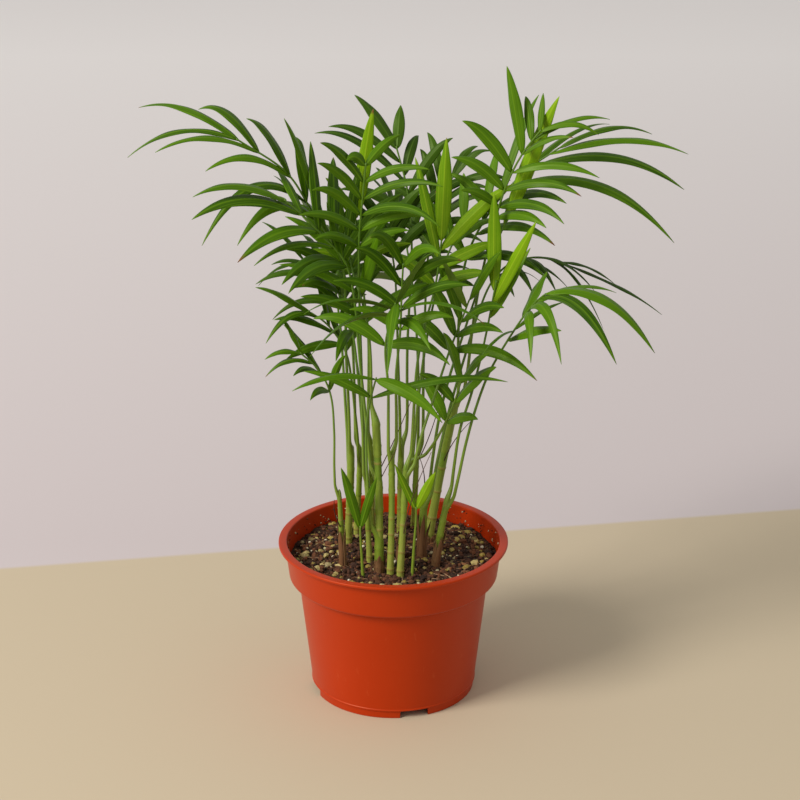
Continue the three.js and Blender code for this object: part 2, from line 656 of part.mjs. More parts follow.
// Each leaf: the cane that carries it and how far up it leaves, the points of its bare stalk and of its
// midrib, the way its face looks, and its leaflets: some by the place of their tip, the rest in pairs. A
// leaflet's first number is its place along the midrib; one over 1 goes on from the end of the midrib.
const leaves = [
  {
    name: 'frond_half_open', cane: 'cane_09', at: 0.93, colour: YOUNG,
    stalk: [[44, -18, 92], [53, -20, 126]], rib: [[62, -25, 168], [70, -28, 216]],
    face: [-0.3, -0.9, 0.2], pairs: 0, longest: 55, blade: 9, droop: 0,
    tips: [
      [1, 69, -40, 282, 12, 0.02], [0.88, 79, -26, 277, 12, 0.02], [0.7, 90, -38, 262, 11, 0.02],
      [0.45, 85, -12, 239, 9, 0.02],
    ],
  },
  {
    name: 'frond_new_right', cane: 'cane_07', at: 0.93, colour: YOUNG,
    stalk: [[34, 8, 110], [50, 8, 168]], rib: [[66, 2, 221], [78, -6, 253]],
    face: [-0.2, -0.9, 0.3], pairs: 0, longest: 60, blade: 8, droop: 0.02,
    tips: [[1, 109, -28, 343, 14, 0.04], [1, 100, 6, 309, 9, 0.06]],
  },
  {
    name: 'frond_upper_left', cane: 'cane_02', at: 0.9, colour: MATURE,
    stalk: [[-33, -3, 165]], rib: [[-35, -8, 222], [-54, -12, 258], [-71, -16, 287], [-104, -22, 312]],
    face: [0.45, -0.55, 0.7], pairs: 6, longest: 85, blade: 11, droop: 0.1,
    tips: [
      [1, -175, -30, 303, 7, 0.16], [1, -170, 0, 330, 11, 0.12], [0.9, -155, -45, 309, 7, 0.14],
      [0.86, -129, -10, 331, 11, 0.2], [0.62, -97, -15, 324, 12, 0.18], [0.44, -126, -50, 250, 9, 0.3],
      [0.3, -103, -45, 247, 10, 0.3], [0.2, -72, -25, 328, 11, 0.06], [0.44, -65, 5, 308, 12, 0.2],
      [0.64, -123, -40, 294, 8, 0.2],
    ],
  },
  {
    name: 'frond_mid_left', cane: 'cane_04', at: 0.6, colour: MATURE,
    stalk: [[-22, -28, 150]], rib: [[-31, -27, 225], [-47, -32, 248], [-61, -38, 265], [-72, -42, 276]],
    face: [0.4, -0.6, 0.7], pairs: 5, longest: 75, blade: 11, droop: 0.1,
    tips: [
      [1, -130, -60, 284, 10, 0.14], [1, -87, -25, 260, 6, 0.2], [0.8, -131, -62, 269, 12, 0.16],
      [0.55, -102, -60, 238, 11, 0.16], [0.25, -92, -50, 234, 7, 0.15], [0.1, -46, -30, 269, 11, 0.06],
      [0.5, -62, -5, 307, 10, 0.04], [0.78, -76, 0, 290, 9, 0.06],
    ],
  },
  {
    name: 'frond_left_back', cane: 'cane_02', at: 0.7, colour: OLD,
    stalk: [[-35, 26, 120]], rib: [[-38, 30, 168], [-44, 33, 196], [-62, 38, 208]],
    face: [0.4, -0.2, 0.9], pairs: 5, longest: 45, blade: 8, droop: 0.15,
    tips: [[1, -95, 35, 193, 6, 0.2], [1, -92, 45, 235, 7], [0.5, -96, 20, 197, 8, 0.2], [0.2, -85, 25, 171, 6, 0.2]],
  },
  {
    name: 'frond_left_low', cane: 'cane_03', at: 0.8, colour: MATURE,
    stalk: [[-28, 10, 110]], rib: [[-34, 0, 154], [-47, -8, 177], [-58, -14, 187]],
    face: [0.3, -0.5, 0.8], pairs: 4, longest: 42, blade: 8, droop: 0.15,
    tips: [
      [1, -93, -25, 211, 11, 0.06], [1, -89, -25, 173, 7, 0.25], [0.5, -82, -20, 186, 8, 0.12],
      [0.3, -74, -25, 157, 9, 0.1], [0.2, -51, 10, 196, 8, 0.1],
    ],
  },
  {
    name: 'frond_low_far_left', cane: 'cane_01', at: 0.85, colour: MATURE,
    stalk: [[-41, -19, 100]], rib: [[-44, -20, 133], [-52, -22, 150], [-64, -25, 163]],
    face: [0.4, -0.4, 0.8], pairs: 3, longest: 36, blade: 7, droop: 0.1, width: 1.8,
    tips: [[1, -88, -30, 162, 6, 0.16], [0.7, -87, -35, 150, 6, 0.2], [0.4, -75, -15, 183, 7, 0.06], [0.1, -33, -10, 156, 7]],
  },
  {
    name: 'frond_front_low', cane: 'cane_04', at: 0.25, colour: MATURE,
    stalk: [[-18, -34, 75]], rib: [[-18, -38, 115], [-14, -50, 143], [-11, -56, 156]],
    face: [0, -0.5, 0.85], pairs: 0,
    tips: [[1, -67, -75, 153, 9, 0.12], [1, 33, -80, 134, 11, 0.1], [0.7, 77, -62, 158, 8, 0.06], [0.6, -60, -50, 160, 8, 0.05]],
  },
  {
    name: 'frond_front', cane: 'cane_05', at: 0.9, colour: MATURE,
    stalk: [[-3, -36, 135]], rib: [[-5, -40, 173], [-1, -50, 196], [2, -60, 210]],
    face: [0, -0.35, 0.94], pairs: 3, longest: 62, blade: 11, droop: 0.12,
    tips: [
      [0.97, -58, -85, 213, 10, 0.12], [0.8, -54, -95, 186, 13, 0.16], [1, -8, -100, 176, 13, 0.2],
      [0.8, 60, -90, 206, 11, 0.16], [0.55, 25, -95, 190, 10, 0.2],
    ],
  },
  {
    name: 'frond_tall_left', cane: 'cane_04', at: 0.95, colour: MATURE,
    stalk: [[-15, -26, 150]], rib: [[-18, -20, 185], [-28, -5, 216], [-33, 5, 240]],
    face: [0.2, -0.9, 0.3], pairs: 4, longest: 60, blade: 10, droop: 0.05,
    tips: [[1.02, -43, 10, 275, 9, 0.05], [1, -23, 15, 285, 9, 0.05], [0.33, -16, -42, 254, 13, 0.02]],
  },
  {
    name: 'frond_centre_left', cane: 'cane_13', at: 0.9, colour: MATURE,
    stalk: [[-20, -12, 120]], rib: [[-20, -20, 238], [-16, -28, 273], [-12, -32, 300]],
    face: [0.1, -0.75, 0.5], pairs: 6, longest: 48, blade: 8, droop: 0.1,
    tips: [
      [1, -30, -45, 303, 9, 0.3], [1, 5, -20, 314, 8, 0.1], [0.8, 24, -50, 298, 7, 0.12],
      [0.6, 33, -55, 288, 7, 0.12], [0.4, 31, -55, 263, 8, 0.15],
    ],
  },
  {
    name: 'frond_top_back', cane: 'cane_11', at: 0.9, colour: OLD,
    stalk: [[10, 42, 140]], rib: [[13, 46, 222], [10, 52, 256], [2, 58, 287]],
    face: [0, -0.8, 0.5], pairs: 5, longest: 58, blade: 9, droop: 0.08,
    tips: [
      [1, -27, 70, 321, 10, 0.08], [1, 0, 75, 312, 10, 0.08], [0.85, -45, 55, 303, 8, 0.12],
      [0.62, -55, 62, 297, 7, 0.14], [0.7, 18, 75, 290, 9, 0.2],
    ],
  },
  {
    name: 'frond_back_right', cane: 'cane_12', at: 0.9, colour: OLD,
    stalk: [[22, 48, 140]], rib: [[26, 50, 220], [33, 54, 249], [43, 58, 266]],
    face: [-0.2, -0.6, 0.7], pairs: 5, longest: 50, blade: 8, droop: 0.15,
    tips: [[1, 69, 60, 283, 8, 0.2], [1, 60, 75, 282, 8, 0.2], [0.5, 19, 70, 281, 8, 0.2]],
  },
  {
    name: 'frond_centre_bright', cane: 'cane_06', at: 0.93, colour: YOUNG,
    stalk: [[18, -25, 165]], rib: [[29, -15, 208], [33, -12, 239]],
    face: [0, -0.85, 0.4], pairs: 2, longest: 50, blade: 11, droop: 0.05,
    tips: [[1.02, 36, -5, 308, 13, 0.03], [0.7, 15, 5, 294, 9, 0.03], [1, 82, -5, 279, 12, 0.05], [0.5, 73, -10, 238, 11, 0.05]],
  },
  {
    name: 'frond_upper_right', cane: 'cane_08', at: 0.96, colour: MATURE,
    stalk: [[57, 5, 191]], rib: [[68, -5, 254], [75, -10, 282], [84, -15, 304], [94, -18, 320]],
    face: [-0.35, -0.75, 0.5], pairs: 7, longest: 60, blade: 9, droop: 0.08,
    tips: [
      [1, 106, -14, 340, 6, 0.05], [1, 135, -25, 322, 6, 0.16], [0.88, 88, -10, 339, 8, 0.1],
      [0.88, 143, -30, 326, 6, 0.12], [0.72, 75, -15, 359, 11, 0.05], [0.72, 118, -40, 317, 6, 0.12],
      [0.5, 46, -15, 323, 11, 0.12], [0.5, 136, -40, 290, 8, 0.12], [0.3, 39, -15, 297, 10, 0.14],
      [0.3, 124, -45, 280, 8, 0.12], [0.12, 45, -20, 276, 8, 0.12],
    ],
  },
  {
    name: 'frond_far_right', cane: 'cane_08', at: 0.86, colour: MATURE,
    stalk: [[46, 24, 156]], rib: [[51, 20, 216], [67, 20, 250], [91, 22, 278], [114, 24, 294]],
    face: [-0.45, -0.5, 0.7], pairs: 6, longest: 75, blade: 10, droop: 0.12,
    tips: [
      [1, 177, 25, 306, 9, 0.12], [1, 201, 15, 294, 10, 0.1], [0.84, 198, 5, 273, 11, 0.14],
      [0.8, 151, 60, 304, 8, 0.1], [0.62, 191, -10, 241, 11, 0.17], [0.5, 100, 40, 329, 10, 0.1],
      [0.3, 74, 50, 290, 9, 0.1],
    ],
  },
  {
    name: 'frond_lower_right', cane: 'cane_09', at: 0.8, colour: MATURE,
    stalk: [[52, -22, 100], [64, -25, 143]], rib: [[78, -32, 174], [94, -45, 204], [102, -52, 214]],
    face: [-0.3, -0.4, 0.85], pairs: 0, longest: 60, blade: 10, droop: 0.2,
    tips: [
      [1, 172, -70, 178, 12, 0.2], [1, 147, -85, 177, 10, 0.25], [0.8, 110, -95, 180, 9, 0.28],
      [0.75, 150, -38, 210, 11, 0.16], [0.6, 91, -80, 176, 9, 0.25], [0.5, 104, -28, 222, 14, 0.06],
      [0.25, 118, -12, 195, 8, 0.08], [0.2, 59, -60, 172, 9, 0.14], [0, 112, -62, 191, 11, 0.08],
    ],
  },
  {
    name: 'frond_right_back', cane: 'cane_07', at: 0.8, colour: OLD,
    stalk: [[40, 6, 100], [61, 15, 165]], rib: [[73, 22, 192], [90, 25, 209], [114, 30, 213], [138, 33, 206]],
    face: [-0.2, -0.2, 0.95], pairs: 0, longest: 40, blade: 7, droop: 0.3,
    tips: [
      [1, 189, 25, 176, 6, 0.03], [1, 148, 10, 188, 6, 0.12], [0.82, 162, 38, 180, 6, 0.16],
      [0.8, 132, 10, 190, 6, 0.18], [0.6, 141, 40, 189, 6, 0.16], [0.58, 113, 8, 193, 6, 0.2],
      [0.38, 122, 42, 190, 6, 0.16], [0.36, 97, 5, 195, 6, 0.2], [0.18, 105, 40, 193, 6, 0.14],
      [0.16, 84, 5, 194, 6, 0.18],
    ],
  },
  {
    name: 'frond_right_low', cane: 'cane_14', at: 0.93, colour: MATURE,
    stalk: [[26, -11, 86]], rib: [[37, -14, 108], [43, -20, 126], [47, -26, 143]],
    face: [-0.2, -0.6, 0.75], pairs: 2, longest: 45, blade: 10, droop: 0.08,
    tips: [
      [1, 65, -48, 171, 9, 0.1], [0.5, 70, -45, 160, 12, 0.08], [0.5, 19, -15, 146, 9, 0.1],
      [0, 62, -30, 118, 10, 0.08],
    ],
  },
  {
    name: 'frond_spear_back', cane: 'cane_10', at: 0.93, colour: YOUNG,
    stalk: [[-18, 32, 160]], rib: [[-24, 25, 213], [-26, 22, 247]],
    face: [0, -0.95, 0.2], pairs: 2, longest: 45, blade: 8, droop: 0,
    tips: [[1, -28, 10, 329, 12, 0.02]],
  },
  {
    name: 'frond_mid_upright', cane: 'cane_03', at: 0.95, colour: MATURE,
    stalk: [[-29, 14, 160]], rib: [[-34, 5, 198], [-38, 0, 224]],
    face: [0.1, -0.85, 0.4], pairs: 3, longest: 50, blade: 9, droop: 0.05,
    tips: [[1, -54, 5, 266, 11, 0.1], [1, -33, 10, 257, 9, 0.1]],
  },
  {
    name: 'frond_centre', cane: 'cane_05', at: 0.95, colour: MATURE,
    stalk: [[2, -31, 145]], rib: [[5, -28, 180], [6, -30, 209], [7, -35, 230]],
    face: [0, -0.6, 0.7], pairs: 4, longest: 52, blade: 9, droop: 0.12,
    tips: [[1, -15, -55, 255, 9, 0.2], [1, 31, -60, 244, 9, 0.2]],
  },
  {
    name: 'frond_centre_right', cane: 'cane_06', at: 0.85, colour: MATURE,
    stalk: [[30, -19, 133]], rib: [[39, -16, 161], [47, -18, 184], [52, -22, 200]],
    face: [-0.2, -0.6, 0.7], pairs: 4, longest: 48, blade: 10, droop: 0.1,
    tips: [[1.02, 72, -35, 239, 10, 0.06], [1, 32, -30, 233, 9, 0.06], [0.1, 100, -48, 153, 10, 0.14]],
  },
  {
    name: 'frond_centre_back', cane: 'cane_11', at: 0.8, colour: OLD,
    stalk: [[3, 24, 155]], rib: [[1, 25, 206], [-4, 28, 235]],
    face: [0, -0.7, 0.6], pairs: 4, longest: 50, blade: 9, droop: 0.1,
  },
  {
    name: 'frond_back_left', cane: 'cane_10', at: 0.8, colour: OLD,
    stalk: [[-26, 40, 130]], rib: [[-40, 48, 190], [-52, 56, 220], [-66, 64, 236]],
    face: [0.4, 0.3, 0.85], pairs: 4, longest: 50, blade: 9, droop: 0.15,
  },
  {
    name: 'frond_back_middle', cane: 'cane_12', at: 0.8, colour: OLD,
    stalk: [[18, 54, 120]], rib: [[14, 66, 180], [8, 80, 214], [2, 94, 230]],
    face: [0, 0.5, 0.85], pairs: 5, longest: 52, blade: 9, droop: 0.15,
  },
  {
    name: 'frond_right_inner', cane: 'cane_14', at: 0.85, colour: MATURE,
    stalk: [[20, 0, 140]], rib: [[30, 8, 196], [40, 14, 226], [50, 20, 244]],
    face: [-0.3, -0.5, 0.75], pairs: 4, longest: 46, blade: 9, droop: 0.12,
  },
  {
    name: 'frond_inner_left', cane: 'cane_13', at: 0.8, colour: MATURE,
    stalk: [[-24, -6, 120]], rib: [[-30, -4, 170], [-38, -4, 196], [-46, -6, 212]],
    face: [0.3, -0.5, 0.75], pairs: 4, longest: 44, blade: 9, droop: 0.12,
  },
];

// The two seedlings: a short stalk from the soil and a first leaf of two lobes.
const seedlings = [
  {
    name: 'seedling_left', colour: MATURE, foot: [-21, -37, 0], neck: [-23, -37, 34],
    tips: [[1, -36, -40, 84, 10, 0.05], [1, -22, -40, 78, 9, 0.05]],
  },
  {
    name: 'seedling_right', colour: YOUNG, foot: [13, -36, 0], neck: [16, -36, 48],
    tips: [[1, 10, -39, 90, 8, 0.02], [1, 24, -38, 82, 10, 0.02]],
  },
];

const sprouts = [];
for (const sprout of seedlings) {
  const [foot, neck] = [above(sprout.foot), above(sprout.neck)];
  foot.z -= PLANT_DEPTH;
  const high = neck.clone().add(new THREE.Vector3(0, 0, LEAF_ROOT + 1));
  const curve = new THREE.CatmullRomCurve3([foot, foot.clone().lerp(neck, 0.5), neck, high], false, 'centripetal');
  const length = curve.getLength();
  const start = (length - LEAF_ROOT - 1) / length;
  const leaf = { ...sprout, rib: [sprout.neck], pairs: 0 };
  leaf.axis = { curve, start, length, width: STALK_WIDTH, face: new THREE.Vector3(0, -1, 0) };
  planLeaf(leaf, leaf.axis);
  for (const piece of axisPieces(leaf.axis, 0)) settle(piece.skin, leaf.name, piece.from, piece.to);
  sprouts.push(leaf);
}

for (const leaf of leaves) {
  leaf.width = leaf.width ?? STALK_WIDTH;
  leaf.axis = growAxis(leaf);
  for (const piece of axisPieces(leaf.axis, 0)) settle(piece.skin, leaf.name, piece.from, piece.to);
}
for (const leaf of [...sprouts, ...leaves]) growLeaf(leaf);

// ---------------------------------------------------------------- pot and soil in place

// The soil closes round each foot that stands in it, with the fit gap all round.
let soil = makeSoil();
for (const cane of Object.values(canes)) soil = soil.subtract(caneSkin(cane, FIT_GAP).solid());
for (const sprout of sprouts) {
  for (const piece of axisPieces(sprout.axis, FIT_GAP)) soil = soil.subtract(piece.skin.solid());
}
addMesh('soil', toGeometry(soil), '#33241a', 0.95);
addMesh('pot', toGeometry(makePot()), '#b8401f', 0.45);

export default object;
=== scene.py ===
import json
import math
import random

import bpy
import numpy as np
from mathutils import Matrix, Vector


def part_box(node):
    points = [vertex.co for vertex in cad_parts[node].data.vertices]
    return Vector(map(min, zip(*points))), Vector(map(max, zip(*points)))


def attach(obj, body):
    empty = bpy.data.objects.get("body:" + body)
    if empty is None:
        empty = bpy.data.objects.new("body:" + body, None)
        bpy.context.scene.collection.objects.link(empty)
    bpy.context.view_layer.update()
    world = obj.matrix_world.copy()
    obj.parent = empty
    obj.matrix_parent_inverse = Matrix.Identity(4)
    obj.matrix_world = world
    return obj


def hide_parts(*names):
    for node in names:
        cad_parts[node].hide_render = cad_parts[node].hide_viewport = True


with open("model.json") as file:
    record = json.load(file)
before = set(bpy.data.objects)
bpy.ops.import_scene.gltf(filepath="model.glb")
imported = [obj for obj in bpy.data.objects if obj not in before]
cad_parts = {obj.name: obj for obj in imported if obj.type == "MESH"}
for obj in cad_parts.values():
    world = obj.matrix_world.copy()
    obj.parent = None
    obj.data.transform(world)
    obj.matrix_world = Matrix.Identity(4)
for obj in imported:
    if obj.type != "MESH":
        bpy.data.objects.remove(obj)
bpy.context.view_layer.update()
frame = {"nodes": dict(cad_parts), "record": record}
MM = 0.001

# ---------------------------------------------------------------- pot
# A 6.5 inch nursery pot: one thin shell of injection-moulded polypropylene with a turned-out lip, a plain
# band, a shoulder and a tapered body. The foot skirt has four drainage notches cut through it. Satin
# terracotta colour, with the fine pebbled skin that the mould leaves.


def linear(code):
    """An sRGB hex colour as linear red, green, blue and full alpha."""
    parts = [int(code[i:i + 2], 16) / 255 for i in (1, 3, 5)]
    return [c / 12.92 if c <= 0.04045 else ((c + 0.055) / 1.055) ** 2.4 for c in parts] + [1.0]


def add_node(tree, kind, settings=None, links=None):
    """Adds a node. Settings go to its sockets or properties; links join its sockets to other nodes."""
    made = tree.nodes.new(kind)
    for name, value in (settings or {}).items():
        if isinstance(name, int) or name in made.inputs:
            made.inputs[name].default_value = value
        else:
            setattr(made, name, value)
    for name, output in (links or {}).items():
        tree.links.new(output, made.inputs[name])
    return made


def new_material(name, roughness, ior):
    """An opaque material with its shader: returns the material, its tree and the shader."""
    made = bpy.data.materials.new(name)
    made.use_nodes = True
    shader = made.node_tree.nodes["Principled BSDF"]
    shader.inputs["Roughness"].default_value = roughness
    shader.inputs["IOR"].default_value = ior
    return made, made.node_tree, shader


def make_piece(name, points, faces, material, uvs=None, layers=None):
    """A smooth-shaded mesh piece that rides on the part, with its material, slot and per-point layers."""
    mesh = bpy.data.meshes.new(name)
    mesh.from_pydata(
        [tuple(map(float, p)) for p in points], [], [tuple(map(int, f)) for f in faces])
    mesh.validate()
    mesh.shade_smooth()
    mesh.materials.append(material)
    if uvs is not None:
        layer = mesh.uv_layers.new(name="UVMap")
        corners = np.empty(len(mesh.loops), dtype=np.int64)
        mesh.loops.foreach_get("vertex_index", corners)
        layer.data.foreach_set("uv", np.asarray(uvs, np.float32)[corners].ravel())
    for label, values in (layers or {}).items():
        made = mesh.attributes.new(label, "FLOAT", "POINT")
        made.data.foreach_set("value", np.asarray(values, np.float32))
    piece = bpy.data.objects.new(name, mesh)
    bpy.context.scene.collection.objects.link(piece)
    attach(piece, "root")
    return piece


POT_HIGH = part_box("pot")[1]
RIM = POT_HIGH.x
POT_TOP = POT_HIGH.z
LIP_WIDTH = 4.5 * MM
LIP_THICKNESS = 2.2 * MM
BAND_TOP = RIM - LIP_WIDTH
BAND_BOTTOM = BAND_TOP - 3 * MM
BODY_TOP = BAND_BOTTOM - 6.5 * MM
FOOT = BODY_TOP - 9 * MM
SHOULDER_Z = POT_TOP - 27.4 * MM
WALL = 1.5 * MM
FOOT_HEIGHT = 6 * MM
FOOT_INSET = 0.8 * MM
MOULD_LINE = 0.4 * MM
FLOOR_UNDER = 5.5 * MM
FLOOR_OVER = 7.3 * MM
PAD = 15 * MM
NOTCH_WIDTH = 21 * MM
NOTCH_ANGLES = [math.radians(15 - 90 + 90 * i) for i in range(4)]
SIDES = 240


def rounded(profile, steps=4):
    """A profile of (radius, height, corner radius) points with its corners rounded off."""
    out = []
    for i, (r, z, round_by) in enumerate(profile):
        if round_by == 0 or i in (0, len(profile) - 1):
            out.append((r, z))
            continue
        here = np.array([r, z])
        before = np.array(profile[i - 1][:2]) - here
        after = np.array(profile[i + 1][:2]) - here
        cut = min(round_by, 0.45 * np.linalg.norm(before), 0.45 * np.linalg.norm(after))
        a = here + before / np.linalg.norm(before) * cut
        b = here + after / np.linalg.norm(after) * cut
        for k in range(steps + 1):
            t = k / steps
            out.append(tuple((1 - t) ** 2 * a + 2 * t * (1 - t) * here + t ** 2 * b))
    return out


pot_profile = rounded([
    (0, 0, 0), (PAD, 0, 0.4 * MM), (PAD, FLOOR_UNDER, 0.4 * MM),
    (FOOT - FOOT_INSET - WALL, FLOOR_UNDER, 0.3 * MM), (FOOT - FOOT_INSET - WALL, 0, 0.5 * MM),
    (FOOT - FOOT_INSET, 0, 0.6 * MM), (FOOT - FOOT_INSET, FOOT_HEIGHT - 0.4 * MM, 0.2 * MM),
    (FOOT + MOULD_LINE, FOOT_HEIGHT, 0.2 * MM), (FOOT + MOULD_LINE, FOOT_HEIGHT + 0.9 * MM, 0.2 * MM),
    (FOOT + 0.05 * MM, FOOT_HEIGHT + 1.3 * MM, 0.1 * MM), (BODY_TOP, SHOULDER_Z, 2.4 * MM),
    (BAND_BOTTOM - 1.5 * MM, SHOULDER_Z, 0.6 * MM), (BAND_BOTTOM, SHOULDER_Z + 1.5 * MM, 1.2 * MM),
    (BAND_TOP, POT_TOP - LIP_THICKNESS, 0.9 * MM), (RIM, POT_TOP - LIP_THICKNESS, 0.9 * MM),
    (RIM, POT_TOP, 1.1 * MM), (BAND_TOP - WALL, POT_TOP, 1.0 * MM),
    (BAND_BOTTOM - WALL, SHOULDER_Z + WALL, 1.2 * MM), (BODY_TOP - WALL, SHOULDER_Z + WALL, 1.0 * MM),
    (FOOT - WALL, FLOOR_OVER, 2 * MM), (0, FLOOR_OVER, 0),
])
pot_angles = [2 * math.pi * i / SIDES for i in range(SIDES)]
for middle in NOTCH_ANGLES:
    reach = NOTCH_WIDTH / 2 / FOOT
    for edge in (middle - reach, middle + reach):
        pot_angles += [(edge - 0.002) % (2 * math.pi), (edge + 0.002) % (2 * math.pi)]
pot_angles.sort()


def in_notch(angle):
    reach = NOTCH_WIDTH / 2 / FOOT
    return any(abs((angle - m + math.pi) % (2 * math.pi) - math.pi) < reach for m in NOTCH_ANGLES)


def joined(points, faces):
    """Joins the points that coincide, and drops the faces that close up with them."""
    kept, index = {}, []
    for point in points:
        index.append(kept.setdefault(tuple(round(c, 8) for c in point), len(kept)))
    corners = [[index[v] for v in face] for face in faces]
    corners = [[v for i, v in enumerate(face) if v != face[i - 1]] for face in corners]
    return list(kept), [face for face in corners if len(face) > 2]


pot_points, pot_faces = [], []
count = len(pot_angles)
for r, z in pot_profile:
    for angle in pot_angles:
        lifted = max(z, FLOOR_UNDER) if in_notch(angle) and r > PAD + 1 * MM and z < FLOOR_UNDER else z
        pot_points.append((r * math.cos(angle), r * math.sin(angle), lifted))
for i in range(len(pot_profile) - 1):
    for j in range(count):
        k = (j + 1) % count
        pot_faces.append((i * count + j, i * count + k, (i + 1) * count + k, (i + 1) * count + j))
pot_points, pot_faces = joined(pot_points, pot_faces)

# Moulded polypropylene: a soft, broad sheen over a strong even colour, with cloudy tones about 50 mm across.
polypropylene, tree, shader = new_material("moulded_polypropylene", 0.4, 1.49)
shader.inputs["Specular Tint"].default_value = linear("#ffc09a")
place = add_node(tree, "ShaderNodeTexCoord")
tones = add_node(
    tree, "ShaderNodeTexNoise", {"Scale": 18.0, "Detail": 3.0}, {"Vector": place.outputs["Object"]})
body_colour = add_node(
    tree, "ShaderNodeMixRGB", {"Color1": linear("#a52901"), "Color2": linear("#b33202")},
    {"Fac": tones.outputs["Fac"]})
# Pale scuffs and dust, a few millimetres long, as pots pick up when they are stacked.
scuffs = add_node(
    tree, "ShaderNodeMapping", {"Scale": (300.0, 300.0, 90.0)}, {"Vector": place.outputs["Object"]})
scuff_noise = add_node(
    tree, "ShaderNodeTexNoise", {"Scale": 1.0, "Detail": 4.0}, {"Vector": scuffs.outputs["Vector"]})
scuff_share = add_node(
    tree, "ShaderNodeMapRange", {"From Min": 0.66, "From Max": 0.8, "To Min": 0.0, "To Max": 0.22},
    {"Value": scuff_noise.outputs["Fac"]})
dusty = add_node(
    tree, "ShaderNodeMixRGB", {"Color2": linear("#c86038")},
    {"Fac": scuff_share.outputs["Result"], "Color1": body_colour.outputs["Color"]})
tree.links.new(dusty.outputs["Color"], shader.inputs["Base Color"])
gloss = add_node(
    tree, "ShaderNodeMapRange", {"From Min": 0.3, "From Max": 0.7, "To Min": 0.36, "To Max": 0.47},
    {"Value": tones.outputs["Fac"]})
tree.links.new(gloss.outputs["Result"], shader.inputs["Roughness"])
# The mould's pebbled skin has grains near 0.8 mm.
pebble = add_node(
    tree, "ShaderNodeTexNoise", {"Scale": 1200.0, "Detail": 1.0}, {"Vector": place.outputs["Object"]})
skin = add_node(
    tree, "ShaderNodeBump", {"Strength": 0.25, "Distance": 0.00006}, {"Height": pebble.outputs["Fac"]})
tree.links.new(skin.outputs["Normal"], shader.inputs["Normal"])
pot_shell = make_piece("pot_shell", pot_points, pot_faces, polypropylene)
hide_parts("pot")

# ---------------------------------------------------------------- soil
# Damp peat-based potting mix, filled loose and settled: crumbs of dark peat with a rough, slightly crowned
# surface that falls away to the wall of the pot.

SOIL_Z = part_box("soil")[1].z
SOIL_EDGE_Z = SOIL_Z - 2 * MM
SOIL_RADIUS = BAND_BOTTOM - WALL + 3 * MM * (SOIL_EDGE_Z - SHOULDER_Z) / (POT_TOP - SHOULDER_Z) - 0.2 * MM
draw = random.Random(11)


def waves(x, y, waves_of):
    return sum(h * math.sin(fx * x + fy * y + turn) for h, fx, fy, turn in waves_of)


soil_waves = []
for wavelength, height, number in ((34, 0.9, 4), (13, 0.55, 6), (6, 0.4, 8), (3.2, 0.3, 8)):
    for _ in range(number):
        turn = draw.uniform(0, 2 * math.pi)
        pull = 2 * math.pi / (wavelength * MM)
        soil_waves.append((height * MM / math.sqrt(number), pull * math.cos(turn), pull * math.sin(turn),
                           draw.uniform(0, 6.3)))


def soil_height(x, y):
    away = min(1.0, math.hypot(x, y) / SOIL_RADIUS)
    return SOIL_Z - 0.6 * MM - 1.6 * MM * away ** 2 + waves(x, y, soil_waves)


soil_points, soil_faces = [(0, 0, soil_height(0, 0))], []
RINGS, SPOKES = 70, 220
for i in range(1, RINGS + 1):
    r = SOIL_RADIUS * i / RINGS
    for j in range(SPOKES):
        angle = 2 * math.pi * j / SPOKES
        x, y = r * math.cos(angle), r * math.sin(angle)
        soil_points.append((x, y, soil_height(x, y)))
for j in range(SPOKES):
    soil_faces.append((0, 1 + j, 1 + (j + 1) % SPOKES))
for i in range(RINGS - 1):
    for j in range(SPOKES):
        a, b = 1 + i * SPOKES, 1 + (i + 1) * SPOKES
        k = (j + 1) % SPOKES
        soil_faces.append((a + j, b + j, b + k, a + k))
# The skirt and the bottom close the soil inside the pot.
last = 1 + (RINGS - 1) * SPOKES
for low, radius in ((SHOULDER_Z + WALL + 0.3 * MM, BAND_BOTTOM - WALL - 0.3 * MM),
                    (SHOULDER_Z + WALL + 0.3 * MM, BODY_TOP - WALL - 0.3 * MM),
                    (FLOOR_OVER + 0.3 * MM, FOOT - WALL - 0.3 * MM)):
    start = len(soil_points)
    for j in range(SPOKES):
        angle = 2 * math.pi * j / SPOKES
        soil_points.append((radius * math.cos(angle), radius * math.sin(angle), low))
    for j in range(SPOKES):
        k = (j + 1) % SPOKES
        soil_faces.append((last + j, start + j, start + k, last + k))
    last = start
soil_faces.append(tuple(reversed(range(last, last + SPOKES))))

# Damp peat: matt brown crumbs about 2 mm across in patches of 8 mm, with painted shade, nearly black, between
# them.
peat, tree, shader = new_material("damp_peat", 0.92, 1.45)
place = add_node(tree, "ShaderNodeTexCoord")
coarse = add_node(
    tree, "ShaderNodeTexNoise", {"Scale": 130.0, "Detail": 6.0}, {"Vector": place.outputs["Object"]})
crumbs = add_node(tree, "ShaderNodeTexVoronoi", {"Scale": 520.0}, {"Vector": place.outputs["Object"]})
dark = add_node(
    tree, "ShaderNodeMixRGB", {"Color1": linear("#20120a"), "Color2": linear("#5c3a24")},
    {"Fac": coarse.outputs["Fac"]})
# Painted shade: the colour turns nearly black towards the edges of the crumbs, in the gaps between them.
painted_gap_shade = add_node(
    tree, "ShaderNodeMapRange", {"From Min": 0.1, "From Max": 0.75, "To Min": 0.0, "To Max": 0.55},
    {"Value": crumbs.outputs["Distance"]})
mixed = add_node(
    tree, "ShaderNodeMixRGB", {"Color2": linear("#120b07")},
    {"Fac": painted_gap_shade.outputs["Result"], "Color1": dark.outputs["Color"]})
tree.links.new(mixed.outputs["Color"], shader.inputs["Base Color"])
rough = add_node(
    tree, "ShaderNodeBump", {"Strength": 0.9, "Distance": 0.0008}, {"Height": crumbs.outputs["Distance"]})
tree.links.new(rough.outputs["Normal"], shader.inputs["Normal"])
peat_bed = make_piece("peat_bed", soil_points, soil_faces, peat)
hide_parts("soil")

